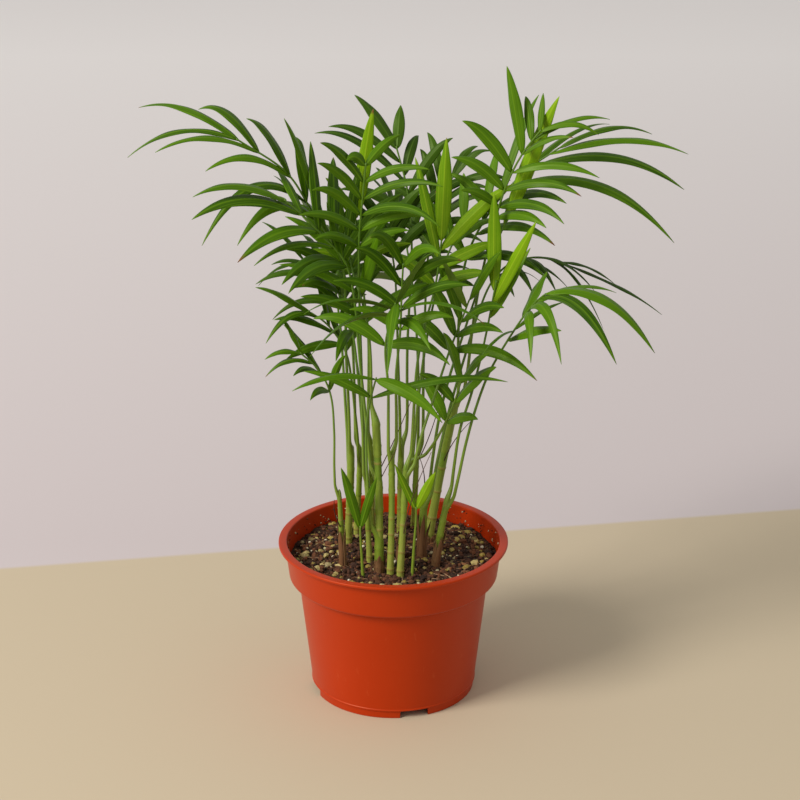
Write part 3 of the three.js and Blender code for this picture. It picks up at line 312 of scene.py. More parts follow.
# ---------------------------------------------------------------- crumbs and grit
# What lies loose on the peat: crumbs of it, chips of bark, and the pale grains mixed in to keep it open,
# tan vermiculite and a little white perlite, 2 to 6 mm across. Some of it clings to the wall of the pot.


def lump(centre, size, stretch, rand):
    """A rough grain with 20 flat faces, as points and faces."""
    golden = (1 + 5 ** 0.5) / 2
    corners = [
        (-1, golden, 0), (1, golden, 0), (-1, -golden, 0), (1, -golden, 0), (0, -1, golden), (0, 1, golden),
        (0, -1, -golden), (0, 1, -golden), (golden, 0, -1), (golden, 0, 1), (-golden, 0, -1), (-golden, 0, 1)]
    sides = [
        (0, 11, 5), (0, 5, 1), (0, 1, 7), (0, 7, 10), (0, 10, 11), (1, 5, 9), (5, 11, 4), (11, 10, 2),
        (10, 7, 6), (7, 1, 8), (3, 9, 4), (3, 4, 2), (3, 2, 6), (3, 6, 8), (3, 8, 9), (4, 9, 5), (2, 4, 11),
        (6, 2, 10), (8, 6, 7), (9, 8, 1)]
    turn, tip = rand.uniform(0, 6.3), rand.uniform(-0.5, 0.5)
    points = []
    for corner in corners:
        x, y, z = (c / 1.902 * rand.uniform(0.72, 1.1) * s * size / 2 for c, s in zip(corner, stretch))
        y, z = y * math.cos(tip) - z * math.sin(tip), y * math.sin(tip) + z * math.cos(tip)
        x, y = x * math.cos(turn) - y * math.sin(turn), x * math.sin(turn) + y * math.cos(turn)
        points.append((centre[0] + x, centre[1] + y, centre[2] + z))
    return points, sides


def scatter(name, number, sizes, stretch, sunk, material, rand, where=None):
    """A piece of many loose grains that lie on the soil."""
    points, faces, tone = [], [], []
    for _ in range(number):
        size = rand.uniform(*sizes) * MM
        radius = (SOIL_RADIUS - 0.5 * MM - size / 2) * math.sqrt(rand.random())
        angle = rand.uniform(0, 2 * math.pi)
        x, y = radius * math.cos(angle), radius * math.sin(angle)
        if where and rand.random() > where(x, y):
            continue
        z = soil_height(x, y) + size * (0.5 - sunk) * stretch[2]
        more, sides = lump((x, y, z), size, stretch, rand)
        faces += [tuple(len(points) + k for k in side) for side in sides]
        points += more
        tone += [rand.random()] * len(more)
    piece = make_piece(name, points, faces, material, layers={"tone": tone})
    piece.data.shade_flat()
    return piece


def grain_material(name, colours, roughness):
    """A mineral or bark grain: matt, pitted every millimetre, with painted shade in the pits, its colour
    another from grain to grain.
    """
    made, tree, shader = new_material(name, roughness, 1.5)
    tone = add_node(tree, "ShaderNodeAttribute", {"attribute_name": "tone"})
    ramp = add_node(tree, "ShaderNodeValToRGB", {}, {"Fac": tone.outputs["Fac"]})
    while len(ramp.color_ramp.elements) < len(colours):
        ramp.color_ramp.elements.new(0.5)
    for i, code in enumerate(colours):
        ramp.color_ramp.elements[i].position = i / (len(colours) - 1)
        ramp.color_ramp.elements[i].color = linear(code)
    place = add_node(tree, "ShaderNodeTexCoord")
    pits = add_node(
        tree, "ShaderNodeTexNoise", {"Scale": 900.0, "Detail": 3.0}, {"Vector": place.outputs["Object"]})
    # Painted shade in the pits and painted light on the rises: the colour follows the bump's noise.
    shade = add_node(
        tree, "ShaderNodeMapRange", {"From Min": 0.3, "From Max": 0.75, "To Min": 0.6, "To Max": 1.15},
        {"Value": pits.outputs["Fac"]})
    colour = add_node(
        tree, "ShaderNodeMixRGB", {"blend_type": "MULTIPLY", "Fac": 1.0},
        {"Color1": ramp.outputs["Color"], "Color2": shade.outputs["Result"]})
    tree.links.new(colour.outputs["Color"], shader.inputs["Base Color"])
    bump = add_node(
        tree, "ShaderNodeBump", {"Strength": 0.6, "Distance": 0.0003}, {"Height": pits.outputs["Fac"]})
    tree.links.new(bump.outputs["Normal"], shader.inputs["Normal"])
    return made


def by_the_wall(x, y):
    """Grit lies thicker near the wall, and left and right of the canes, than among them."""
    return 0.2 + 0.45 * min(1.0, abs(x) / (45 * MM)) + 0.35 * (math.hypot(x, y) / SOIL_RADIUS) ** 2


crumb_peat = grain_material("peat_crumb", ["#22110a", "#452713", "#6e4226", "#2f190f", "#7d4d2e"], 0.95)
vermiculite = grain_material(
    "vermiculite", ["#86702a", "#b39f48", "#998436", "#cdbb78", "#77642c", "#dccfa0"], 0.6)
perlite = grain_material("perlite", ["#d8cfb0", "#c2b688", "#e6dfc8"], 0.85)
bark = grain_material("bark_chip", ["#4a2c18", "#6d4426", "#8a5a33"], 0.85)
dead_root = grain_material("dead_root", ["#7a5636", "#a98a66", "#5c3d26"], 0.8)
draw = random.Random(23)
scatter("peat_crumbs", 2600, (1.4, 4.8), (1, 0.85, 0.75), 0.25, crumb_peat, draw)
scatter("peat_clods", 170, (4.5, 8), (1, 0.85, 0.6), 0.3, crumb_peat, draw)
scatter("vermiculite_grains", 460, (1.8, 5.2), (1, 0.8, 0.55), 0.2, vermiculite, draw, by_the_wall)
scatter("vermiculite_lumps", 120, (5, 9), (1, 0.85, 0.5), 0.25, vermiculite, draw, by_the_wall)
scatter("perlite_grains", 140, (1.2, 3.6), (1, 0.9, 0.8), 0.2, perlite, draw)
scatter("bark_chips", 130, (3, 10), (1, 0.3, 0.22), 0.1, bark, draw)
scatter("root_fibres", 150, (7, 20), (1, 0.055, 0.05), -0.6, dead_root, draw)


def specks(name, number, material):
    """Specks that watering has splashed on the inside of the pot's band, back left and back right."""
    points, faces, tone = [], [], []
    for _ in range(number):
        angle = math.radians(draw.choice((40, 150)) + draw.uniform(-40, 40))
        height = SOIL_Z + (POT_TOP - SOIL_Z - 2 * MM) * draw.random() ** 1.7
        radius = BAND_BOTTOM - WALL + 3 * MM * (height - SHOULDER_Z) / (POT_TOP - SHOULDER_Z) - 0.2 * MM
        more, sides = lump((radius * math.cos(angle), radius * math.sin(angle), height),
                           draw.uniform(0.4, 1.8) * MM, (1, 1, 1), draw)
        faces += [tuple(len(points) + k for k in side) for side in sides]
        points += more
        tone += [draw.random()] * len(more)
    make_piece(name, points, faces, material, layers={"tone": tone})


specks("peat_specks", 55, crumb_peat)
specks("grit_specks", 45, perlite)

# ---------------------------------------------------------------- canes
# The stems of the palm: slender, smooth and green, ringed every centimetre or two by the scar of a fallen
# leaf, and a little swollen there. They are paler and yellower low down, where their sheaths have gone.


def welded(node):
    """The points and triangles of a CAD node with coincident points joined."""
    mesh = frame["nodes"][node].data
    place = np.array([v.co[:] for v in mesh.vertices])
    keys, index = np.unique(np.round(place, 6), axis=0, return_inverse=True)
    index = index.reshape(-1)
    faces = [[index[v] for v in polygon.vertices] for polygon in mesh.polygons]
    return keys, [f for f in faces if len(set(f)) == 3]


def neighbours(points, faces):
    near = [set() for _ in points]
    for a, b, c in faces:
        near[a] |= {b, c}
        near[b] |= {a, c}
        near[c] |= {a, b}
    return near


def rings_from(start, near, free):
    """Walks a tube ring by ring from its first ring: the points that touch the last ring are the next."""
    rings, used = [sorted(start)], set(start)
    while True:
        following = set().union(*(near[v] for v in rings[-1])) - used
        following = {v for v in following if v in free}
        if not following:
            return rings
        rings.append(sorted(following))
        used |= following


def spline(knots, step):
    """A smooth line through the knots, sampled about every step: points and distances along it."""
    knots = np.asarray(knots, float)
    gaps = np.linalg.norm(np.diff(knots, axis=0), axis=1)
    at = np.concatenate([[0], np.cumsum(gaps)])
    slopes = np.empty_like(knots)
    rises = np.diff(knots, axis=0) / gaps[:, None]
    slopes[0], slopes[-1] = rises[0], rises[-1]
    for i in range(1, len(knots) - 1):
        w = gaps[i] / (gaps[i - 1] + gaps[i])
        slopes[i] = rises[i - 1] * w + rises[i] * (1 - w)
    where = np.linspace(0, at[-1], max(6, int(at[-1] / step)))
    out = []
    for s in where:
        i = min(np.searchsorted(at, s, side="right") - 1, len(gaps) - 1)
        t, h = (s - at[i]) / gaps[i], gaps[i]
        out.append((2 * t ** 3 - 3 * t ** 2 + 1) * knots[i] + (t ** 3 - 2 * t ** 2 + t) * h * slopes[i]
                   + (-2 * t ** 3 + 3 * t ** 2) * knots[i + 1] + (t ** 3 - t ** 2) * h * slopes[i + 1])
    return np.array(out), where, at


def tube(line, radii, sides):
    """A closed round tube along a line: its points, its faces and the (along, around) of each point."""
    line, radii = np.asarray(line), np.asarray(radii)
    ways = np.gradient(line, axis=0)
    ways /= np.linalg.norm(ways, axis=1)[:, None]
    side = np.cross(ways[0], (0.0, 1.0, 0.0))
    side /= np.linalg.norm(side)
    along = np.concatenate([[0], np.cumsum(np.linalg.norm(np.diff(line, axis=0), axis=1))])
    points, faces, uvs = [], [], []
    for i, (centre, way) in enumerate(zip(line, ways)):
        side = side - way * side.dot(way)
        side /= np.linalg.norm(side)
        front = np.cross(way, side)
        for j in range(sides):
            turn = 2 * math.pi * j / sides
            points.append(centre + radii[i] * (math.cos(turn) * side + math.sin(turn) * front))
            uvs.append((along[i], radii[i] * min(turn, 2 * math.pi - turn)))
        if i:
            a, b = (i - 1) * sides, i * sides
            faces += [(a + j, a + (j + 1) % sides, b + (j + 1) % sides, b + j) for j in range(sides)]
    faces.append(tuple(reversed(range(sides))))
    faces.append(tuple(range(len(points) - sides, len(points))))
    return points, faces, uvs


# Living cane skin: smooth and slightly waxy, yellow-green at the foot and green above 75 mm.
cane_skin, tree, shader = new_material("palm_cane_skin", 0.42, 1.45)
run = add_node(tree, "ShaderNodeUVMap", {"uv_map": "UVMap"})
apart = add_node(tree, "ShaderNodeSeparateXYZ", {}, {"Vector": run.outputs["UV"]})
climb = add_node(
    tree, "ShaderNodeMapRange", {"From Min": 0.0, "From Max": 0.075, "To Min": 0.0, "To Max": 1.0},
    {"Value": apart.outputs["X"]})
fresh = add_node(
    tree, "ShaderNodeMixRGB", {"Color1": linear("#a3a64c"), "Color2": linear("#6c8a22")},
    {"Fac": climb.outputs["Result"]})
# Fine fibres run up the skin, about 0.5 mm apart.
grain = add_node(tree, "ShaderNodeMapping", {"Scale": (60.0, 2000.0, 1.0)}, {"Vector": run.outputs["UV"]})
fibres = add_node(
    tree, "ShaderNodeTexNoise", {"Scale": 1.0, "Detail": 3.0}, {"Vector": grain.outputs["Vector"]})
streaks = add_node(
    tree, "ShaderNodeMapRange", {"From Min": 0.45, "From Max": 0.75, "To Min": 0.0, "To Max": 0.6},
    {"Value": fibres.outputs["Fac"]})
streaked = add_node(
    tree, "ShaderNodeMixRGB", {"Color2": linear("#4f6c18")},
    {"Fac": streaks.outputs["Result"], "Color1": fresh.outputs["Color"]})
scars = add_node(tree, "ShaderNodeAttribute", {"attribute_name": "scar"})
scarred = add_node(
    tree, "ShaderNodeMixRGB", {"Color2": linear("#8f7a3e")},
    {"Fac": scars.outputs["Fac"], "Color1": streaked.outputs["Color"]})
tree.links.new(scarred.outputs["Color"], shader.inputs["Base Color"])
ridges = add_node(
    tree, "ShaderNodeBump", {"Strength": 0.3, "Distance": 0.0002}, {"Height": fibres.outputs["Fac"]})
tree.links.new(ridges.outputs["Normal"], shader.inputs["Normal"])

CANE_STEP = 0.7 * MM
CANE_SIDES = 20
SCAR_WIDTH = 0.8 * MM
CANE_TOP = 5 * MM

canes = {}
for name in sorted(n for n in frame["nodes"] if n.startswith("cane_")):
    points, faces = welded(name)
    near = neighbours(points, faces)
    foot = np.argsort(points[:, 2])[:8]
    rings = [points[r] for r in rings_from(set(foot), near, set(range(len(points))))]
    knots = [r.mean(axis=0) for r in rings]
    widths = [np.linalg.norm(r - r.mean(axis=0), axis=1).mean() for r in rings]
    line, where, at = spline(knots, CANE_STEP)
    radii = np.interp(where, at, widths)
    rand = random.Random(name)
    scar = np.zeros(len(where))
    ring = 12 * MM
    while ring < where[-1]:
        scar = np.maximum(scar, np.exp(-((where - ring) / SCAR_WIDTH) ** 2))
        ring += rand.uniform(11, 22) * MM
    radii = radii * (0.97 + 0.12 * scar)
    canes[name] = (line, radii)
    # The top closes in to the stalks that grow out of it.
    left = (where[-1] - where) / CANE_TOP
    radii = radii * np.sqrt(np.clip(1 - (1 - np.clip(left, 0, 1)) ** 2.2, 0.03, 1))
    points, faces, uvs = tube(line, radii, CANE_SIDES)
    cane = make_piece(name + "_stem", points, faces, cane_skin, uvs,
                      {"scar": np.repeat(scar, CANE_SIDES) * 0.8})
    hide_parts(name)

# ---------------------------------------------------------------- dry sheaths
# Dead leaf sheaths left round the feet of the older canes: papery brown fibre, split into strips that are
# ragged at the top and lift away from the cane.

# Dry leaf fibre: dull brown strands about 0.4 mm apart, redder on some strips than on others.
dry_fibre, tree, shader = new_material("dry_leaf_fibre", 0.8, 1.45)
run = add_node(tree, "ShaderNodeUVMap", {"uv_map": "UVMap"})
grain = add_node(tree, "ShaderNodeMapping", {"Scale": (70.0, 2600.0, 1.0)}, {"Vector": run.outputs["UV"]})
fibres = add_node(
    tree, "ShaderNodeTexNoise", {"Scale": 1.0, "Detail": 5.0}, {"Vector": grain.outputs["Vector"]})
brown = add_node(
    tree, "ShaderNodeMixRGB", {"Color1": linear("#3a2412"), "Color2": linear("#9c7448")},
    {"Fac": fibres.outputs["Fac"]})
tone = add_node(tree, "ShaderNodeAttribute", {"attribute_name": "tone"})
tone_share = add_node(tree, "ShaderNodeMath", {"operation": "MULTIPLY", 1: 0.6}, {0: tone.outputs["Fac"]})
aged = add_node(
    tree, "ShaderNodeMixRGB", {"Color2": linear("#6e4422")},
    {"Fac": tone_share.outputs["Value"], "Color1": brown.outputs["Color"]})
tree.links.new(aged.outputs["Color"], shader.inputs["Base Color"])
ridges = add_node(
    tree, "ShaderNodeBump", {"Strength": 0.8, "Distance": 0.0004}, {"Height": fibres.outputs["Fac"]})
tree.links.new(ridges.outputs["Normal"], shader.inputs["Normal"])


STRIP_STEPS = 14
STRIP_THICKNESS = 0.22 * MM
STRIP_ACROSS = (-1, -0.5, 0, 0.5, 1)


def sheath(name, cane, low, high, strips, lift):
    """Overlapping strips of dry fibre round a cane, from one distance along it to about another."""
    line, radii = canes[cane]
    rand = random.Random(name)
    along = np.concatenate([[0], np.cumsum(np.linalg.norm(np.diff(line, axis=0), axis=1))])
    ways = np.gradient(line, axis=0)
    points, faces, uvs, tone = [], [], [], []
    for k in range(strips):
        middle = 2 * math.pi * (k + rand.uniform(-0.2, 0.2)) / strips
        half = math.pi / strips * rand.uniform(0.9, 1.5)
        top = low + (high - low) * rand.uniform(0.55, 1.0)
        flare = lift * rand.uniform(0.2, 1.0)
        drift = rand.uniform(-0.25, 0.25)
        shade = rand.random()
        start = len(points)
        for i in range(STRIP_STEPS):
            t = i / (STRIP_STEPS - 1)
            s = low + (top - low) * t
            j = min(np.searchsorted(along, s), len(line) - 1)
            way = ways[j] / np.linalg.norm(ways[j])
            side = np.cross(way, (0.0, 1.0, 0.0))
            side /= np.linalg.norm(side)
            front = np.cross(way, side)
            off = radii[j] + (0.25 + 0.12 * (k % 3)) * MM + flare * t ** 3
            narrow = 1 if t < 0.5 else max(0.06, 1 - ((t - 0.5) / 0.5) ** 1.6)
            for across in STRIP_ACROSS:
                turn = middle + drift * t + half * across * narrow
                out = math.cos(turn) * side + math.sin(turn) * front
                for thick in (0.0, STRIP_THICKNESS):
                    points.append(line[j] + out * (off + thick + 0.1 * MM * rand.random()))
                    uvs.append((s, half * across * radii[j]))
                    tone.append(shade)
        for i in range(STRIP_STEPS - 1):
            for c in range(4):
                a = start + i * 10 + c * 2
                faces += [(a + 1, a + 3, a + 13, a + 11), (a, a + 10, a + 12, a + 2)]
            a = start + i * 10
            faces += [(a, a + 1, a + 11, a + 10), (a + 8, a + 18, a + 19, a + 9)]
        end = start + (STRIP_STEPS - 1) * 10
        for c in range(4):
            a, b = start + c * 2, end + c * 2
            faces += [(a, a + 2, a + 3, a + 1), (b, b + 1, b + 3, b + 2)]
    return make_piece(name, points, faces, dry_fibre, uvs, {"tone": tone})


for cane, low, high, strips, lift in (
        ("cane_01", 6, 44, 5, 1.4), ("cane_07", 6, 50, 9, 3.2), ("cane_09", 6, 44, 7, 2.6),
        ("cane_04", 6, 24, 8, 3.4), ("cane_08", 6, 17, 5, 1.6), ("cane_14", 6, 26, 6, 2.2)):
    sheath(cane + "_sheath", cane, low * MM, high * MM, strips, lift * MM)

# Threads that are left of dead stalks: dark, dry and about half a millimetre thick.
draw = random.Random(5)
points, faces, uvs, tone = [], [], [], []
for cane, low, reach in (("cane_06", 34, 70), ("cane_10", 46, 88), ("cane_13", 52, 60), ("cane_07", 62, 46),
                         ("cane_08", 70, 52), ("cane_01", 36, 34), ("cane_12", 58, 66)):
    line, radii = canes[cane]
    j = min(int(low * MM / np.linalg.norm(line[1] - line[0])), len(line) - 1)
    way = np.array([draw.uniform(-0.45, 0.45), draw.uniform(-0.6, -0.1), 1.0])
    bend = np.array([draw.uniform(-0.3, 0.3), draw.uniform(-0.3, 0.2), 0.0])
    knots = [line[j] + (way * t + bend * t * t) * reach * MM for t in (0.0, 0.35, 0.7, 1.0)]
    path, where, at = spline(knots, 3 * MM)
    more, sides, flat = tube(path, np.linspace(0.45, 0.2, len(path)) * MM, 6)
    faces += [tuple(len(points) + k for k in side) for side in sides]
    points += more
    uvs += flat
    tone += [draw.random()] * len(more)
# Withered stalk: nearly black, with browner patches about 8 mm long.
dry_thread, tree, shader = new_material("dry_stalk_thread", 0.7, 1.45)
place = add_node(tree, "ShaderNodeTexCoord")
patches = add_node(
    tree, "ShaderNodeTexNoise", {"Scale": 120.0, "Detail": 2.0}, {"Vector": place.outputs["Object"]})
withered = add_node(
    tree, "ShaderNodeMixRGB", {"Color1": linear("#1f130d"), "Color2": linear("#5a3a24")},
    {"Fac": patches.outputs["Fac"]})
tree.links.new(withered.outputs["Color"], shader.inputs["Base Color"])
make_piece("dead_threads", points, faces, dry_thread, uvs, {"tone": tone})

# ---------------------------------------------------------------- fronds
# Pinnate leaves: a slender pale-green stalk that runs on as the midrib, with a row of soft lance-shaped
# leaflets on each side. A leaflet is thin, folded a little along its own midrib and finely ribbed along its
# length, satin above and paler below. Young fronds are yellow-green, old ones dark and bluish.


def tip_points(points, near, faces):
    """The sharp end of each leaflet: a point where four narrow triangles meet."""
    angle = np.zeros(len(points))
    for face in faces:
        for k in range(3):
            a, b, c = (points[face[(k + m) % 3]] for m in range(3))
            u, v = b - a, c - a
            angle[face[k]] += math.acos(np.clip(u.dot(v) / np.linalg.norm(u) / np.linalg.norm(v), -1, 1))
    return [i for i in range(len(points)) if len(near[i]) == 4 and angle[i] < 3.0]


def cross_section(ring):
    """Of four corners of a thin section: its middle, its half width as a vector, and its face's way."""
    pairs = sorted((np.linalg.norm(ring[a] - ring[b]), a, b) for a in range(4) for b in range(a + 1, 4))
    _, a, b = pairs[0]
    c, d = (k for k in range(4) if k not in (a, b))
    middles = (ring[a] + ring[b]) / 2, (ring[c] + ring[d]) / 2
    face = ring[a] - ring[b]
    other = ring[c] - ring[d]
    face = face / np.linalg.norm(face)
    if face.dot(other) < 0:
        other = -other
    face = face + other / np.linalg.norm(other)
    return ring.mean(axis=0), (middles[1] - middles[0]) / 2, face / np.linalg.norm(face)


def read_frond(node):
    """The stalk's middle line with its half widths, and the sections of every leaflet, from a CAD frond."""
    points, faces = welded(node)
    near = neighbours(points, faces)
    leaflets, used = [], set()
    for tip in tip_points(points, near, faces):
        second = near[tip]
        first = set().union(*(near[v] for v in second)) - second - {tip}
        root = set().union(*(near[v] for v in first)) - second - first
        used |= {tip} | second | first
        leaflets.append((points[sorted(root)].mean(axis=0), cross_section(points[sorted(first)]),
                         cross_section(points[sorted(second)]), points[tip]))
    free = set(range(len(points))) - used
    lowest = min(free, key=lambda v: points[v][2])
    foot = sorted(free, key=lambda v: np.linalg.norm(points[v] - points[lowest]))[:4]
    rings = [points[r] for r in rings_from(set(foot), near, free)]
    knots = [r.mean(axis=0) for r in rings]
    halves = [np.linalg.norm(r - r.mean(axis=0), axis=1).mean() / math.sqrt(2) for r in rings]
    return knots, halves, leaflets


STATIONS = 26
ACROSS = (-1, -0.78, -0.52, -0.26, -0.07, 0, 0.07, 0.26, 0.52, 0.78, 1)
SKY = np.array([0.0, -0.35, 0.8])


def width_at(u):
    """A leaflet's width from root to tip: narrow at the root, full a third of the way up, a long fine tip."""
    return max(0.14 + 0.5 * u if u < 0.15 else 0.0,
               max(0.0, math.sin(math.pi * u ** 0.78)) ** 0.6 * (1 - 0.42 * u ** 4))


def blade(root, first, second, tip, rand, breadth):
    """One leaflet as a thin closed sheet: points, faces, (along, across) and the layers of its colour."""
    (p1, w1, n1), (p2, _, n2) = first, second
    a, b = 0.36, 0.7
    crowns = [(p - (1 - u) ** 2 * root - u * u * tip) / (2 * u * (1 - u)) for p, u in ((p1, a), (p2, b))]
    crown = (crowns[0] + crowns[1]) / 2
    if n1.dot(SKY) < 0:
        n1 = -n1
    if n2.dot(n1) < 0:
        n2 = -n2
    full = np.linalg.norm(w1) * breadth
    length = np.linalg.norm(p1 - root) + np.linalg.norm(p2 - p1) + np.linalg.norm(tip - p2)
    fold = rand.uniform(0.16, 0.34)
    twist = rand.uniform(-0.22, 0.22)
    curl = rand.uniform(-0.05, 0.3) * length
    wave_height = rand.uniform(0.1, 0.35) * MM
    wave_turn = rand.uniform(0, 6.3)
    tone = rand.random()
    dry_from = rand.uniform(0.9, 0.97) if rand.random() < 0.16 else 2.0
    points, uvs, under, dry = [], [], [], []
    for i in range(STATIONS):
        u = (i / (STATIONS - 1)) ** 0.92
        centre = (1 - u) ** 2 * root + 2 * u * (1 - u) * crown + u * u * tip
        way = (1 - u) * (crown - root) + u * (tip - crown)
        way /= np.linalg.norm(way)
        over = n1 + (n2 - n1) * min(1.0, max(0.0, (u - a) / (b - a)))
        side = np.cross(way, over)
        side /= np.linalg.norm(side)
        over = np.cross(side, way)
        bent, raised = math.cos(twist * u), math.sin(twist * u)
        side, over = side * bent + over * raised, over * bent - side * raised
        centre = centre + (0, 0, -curl * max(0.0, u - 0.6) ** 2)
        half = max(full * width_at(u), 0.12 * MM)
        for top in (1, -1):
            for s in ACROSS:
                sink = -fold * half * abs(s) ** 1.25
                keel = 0.18 * MM * max(0.0, 1 - abs(s) * 9) * (1 - u)
                ribs = 0.05 * MM * math.cos(3.5 * math.pi * abs(s)) * min(1.0, half / (3 * MM))
                wave = wave_height * s * abs(s) * math.sin(14 * u + wave_turn) * min(1.0, half / (3 * MM))
                thick = (0.17 if abs(s) < 0.9 else 0.09) * MM * (1.3 - 0.7 * u)
                lift = sink + ribs + wave + (keel if top > 0 else -keel * 1.4) + top * thick
                points.append(centre + side * half * s + over * lift)
                uvs.append((u * length, s * half))
                under.append(0.0 if top > 0 else 1.0)
                dry.append(min(1.0, max(0.0, (u - dry_from) / 0.04)))
    n = len(ACROSS)
    faces = []
    for i in range(STATIONS - 1):
        p, q = i * 2 * n, (i + 1) * 2 * n
        for j in range(n - 1):
            faces.append((p + j, p + j + 1, q + j + 1, q + j))
            faces.append((p + n + j, q + n + j, q + n + j + 1, p + n + j + 1))
        faces.append((p, q, q + n, p + n))
        faces.append((p + n - 1, p + 2 * n - 1, q + 2 * n - 1, q + n - 1))
    end = (STATIONS - 1) * 2 * n
    for j in range(n - 1):
        faces.append((j, n + j, n + j + 1, j + 1))
        faces.append((end + j, end + j + 1, end + n + j + 1, end + n + j))
    return points, faces, uvs, {"tone": [tone] * len(points), "under": under, "dry": dry}


def blade_material(name, dark, light, under, rib):
    """Living leaf: waxy satin skin over ribs about 1 mm apart, darker between them, with a pale midrib."""
    made, tree, shader = new_material(name, 0.42, 1.38)
    shader.inputs["Specular Tint"].default_value = linear("#cfe0a0")
    run = add_node(tree, "ShaderNodeUVMap", {"uv_map": "UVMap"})
    apart = add_node(tree, "ShaderNodeSeparateXYZ", {}, {"Vector": run.outputs["UV"]})
    tone = add_node(tree, "ShaderNodeAttribute", {"attribute_name": "tone"})
    below = add_node(tree, "ShaderNodeAttribute", {"attribute_name": "under"})
    dried = add_node(tree, "ShaderNodeAttribute", {"attribute_name": "dry"})
    place = add_node(tree, "ShaderNodeTexCoord")
    clouds = add_node(
        tree, "ShaderNodeTexNoise", {"Scale": 45.0, "Detail": 3.0}, {"Vector": place.outputs["Object"]})
    share = add_node(
        tree, "ShaderNodeMath", {"operation": "MULTIPLY_ADD", 1: 0.9, 2: -0.25}, {0: tone.outputs["Fac"]})
    share = add_node(
        tree, "ShaderNodeMath", {"operation": "MULTIPLY_ADD", 1: 0.7, "use_clamp": True},
        {0: clouds.outputs["Fac"], 2: share.outputs["Value"]})
    colour = add_node(
        tree, "ShaderNodeMixRGB", {"Color1": linear(dark), "Color2": linear(light)},
        {"Fac": share.outputs["Value"]})
    # Ribs: lines along the leaflet, about 1 mm apart, that wander a little.
    lines = add_node(tree, "ShaderNodeMapping", {"Scale": (14.0, 1100.0, 1.0)}, {"Vector": run.outputs["UV"]})
    veins = add_node(
        tree, "ShaderNodeTexNoise", {"Scale": 1.0, "Detail": 3.0}, {"Vector": lines.outputs["Vector"]})
    vein_share = add_node(
        tree, "ShaderNodeMapRange", {"From Min": 0.44, "From Max": 0.68, "To Min": 0.0, "To Max": 0.6},
        {"Value": veins.outputs["Fac"]})
    veined = add_node(
        tree, "ShaderNodeMixRGB", {"Color2": linear(rib)},
        {"Fac": vein_share.outputs["Result"], "Color1": colour.outputs["Color"]})
    beside = add_node(tree, "ShaderNodeMath", {"operation": "ABSOLUTE"}, {0: apart.outputs["Y"]})
    midrib = add_node(
        tree, "ShaderNodeMapRange", {"From Min": 0.0001, "From Max": 0.0006, "To Min": 0.6, "To Max": 0.0},
        {"Value": beside.outputs["Value"]})
    ribbed = add_node(
        tree, "ShaderNodeMixRGB", {"Color2": linear(rib)},
        {"Fac": midrib.outputs["Result"], "Color1": veined.outputs["Color"]})
    pale = add_node(tree, "ShaderNodeMath", {"operation": "MULTIPLY", 1: 0.65}, {0: below.outputs["Fac"]})
    sides = add_node(
        tree, "ShaderNodeMixRGB", {"Color2": linear(under)},
        {"Fac": pale.outputs["Value"], "Color1": ribbed.outputs["Color"]})
    tipped = add_node(
        tree, "ShaderNodeMixRGB", {"Color2": linear("#6b4426")},
        {"Fac": dried.outputs["Fac"], "Color1": sides.outputs["Color"]})
    tree.links.new(tipped.outputs["Color"], shader.inputs["Base Color"])
    gloss = add_node(
        tree, "ShaderNodeMapRange", {"From Min": 0.3, "From Max": 0.7, "To Min": 0.37, "To Max": 0.5},
        {"Value": clouds.outputs["Fac"]})
    tree.links.new(gloss.outputs["Result"], shader.inputs["Roughness"])
    bump = add_node(
        tree, "ShaderNodeBump", {"Strength": 0.35, "Distance": 0.0002}, {"Height": veins.outputs["Fac"]})
    tree.links.new(bump.outputs["Normal"], shader.inputs["Normal"])
    return made


BLADES = {
    "leaf_young": blade_material("young_leaf", "#3f6d02", "#739c0a", "#7f9c28", "#8cab22"),
    "leaf_mature": blade_material("grown_leaf", "#224402", "#4b7405", "#607c2a", "#5f8412"),
    "leaf_old": blade_material("old_leaf", "#1a3604", "#38590c", "#4e6828", "#48671a"),
}

# Leaf stalk skin: satin, paler at the sheath and greener above 120 mm, with fine streaks 0.4 mm apart.
stalk_skin, tree, shader = new_material("leaf_stalk_skin", 0.4, 1.45)
run = add_node(tree, "ShaderNodeUVMap", {"uv_map": "UVMap"})
apart = add_node(tree, "ShaderNodeSeparateXYZ", {}, {"Vector": run.outputs["UV"]})
climb = add_node(
    tree, "ShaderNodeMapRange", {"From Min": 0.0, "From Max": 0.12, "To Min": 0.0, "To Max": 1.0},
    {"Value": apart.outputs["X"]})
fresh = add_node(
    tree, "ShaderNodeMixRGB", {"Color1": linear("#80952e"), "Color2": linear("#557a1a")},
    {"Fac": climb.outputs["Result"]})
grain = add_node(tree, "ShaderNodeMapping", {"Scale": (40.0, 2400.0, 1.0)}, {"Vector": run.outputs["UV"]})
fibres = add_node(
    tree, "ShaderNodeTexNoise", {"Scale": 1.0, "Detail": 2.0}, {"Vector": grain.outputs["Vector"]})
streaks = add_node(
    tree, "ShaderNodeMapRange", {"From Min": 0.45, "From Max": 0.75, "To Min": 0.0, "To Max": 0.5},
    {"Value": fibres.outputs["Fac"]})
streaked = add_node(
    tree, "ShaderNodeMixRGB", {"Color2": linear("#3d6014")},
    {"Fac": streaks.outputs["Result"], "Color1": fresh.outputs["Color"]})
tree.links.new(streaked.outputs["Color"], shader.inputs["Base Color"])
ridges = add_node(
    tree, "ShaderNodeBump", {"Strength": 0.3, "Distance": 0.00015}, {"Height": fibres.outputs["Fac"]})
tree.links.new(ridges.outputs["Normal"], shader.inputs["Normal"])

SHEATH_BELOW = 27 * MM
SHEATH_ABOVE = 15 * MM
# How wide a leaflet is drawn, against the width of its CAD solid.
FROND_BREADTH = 0.95
SEEDLING_BREADTH = 0.78


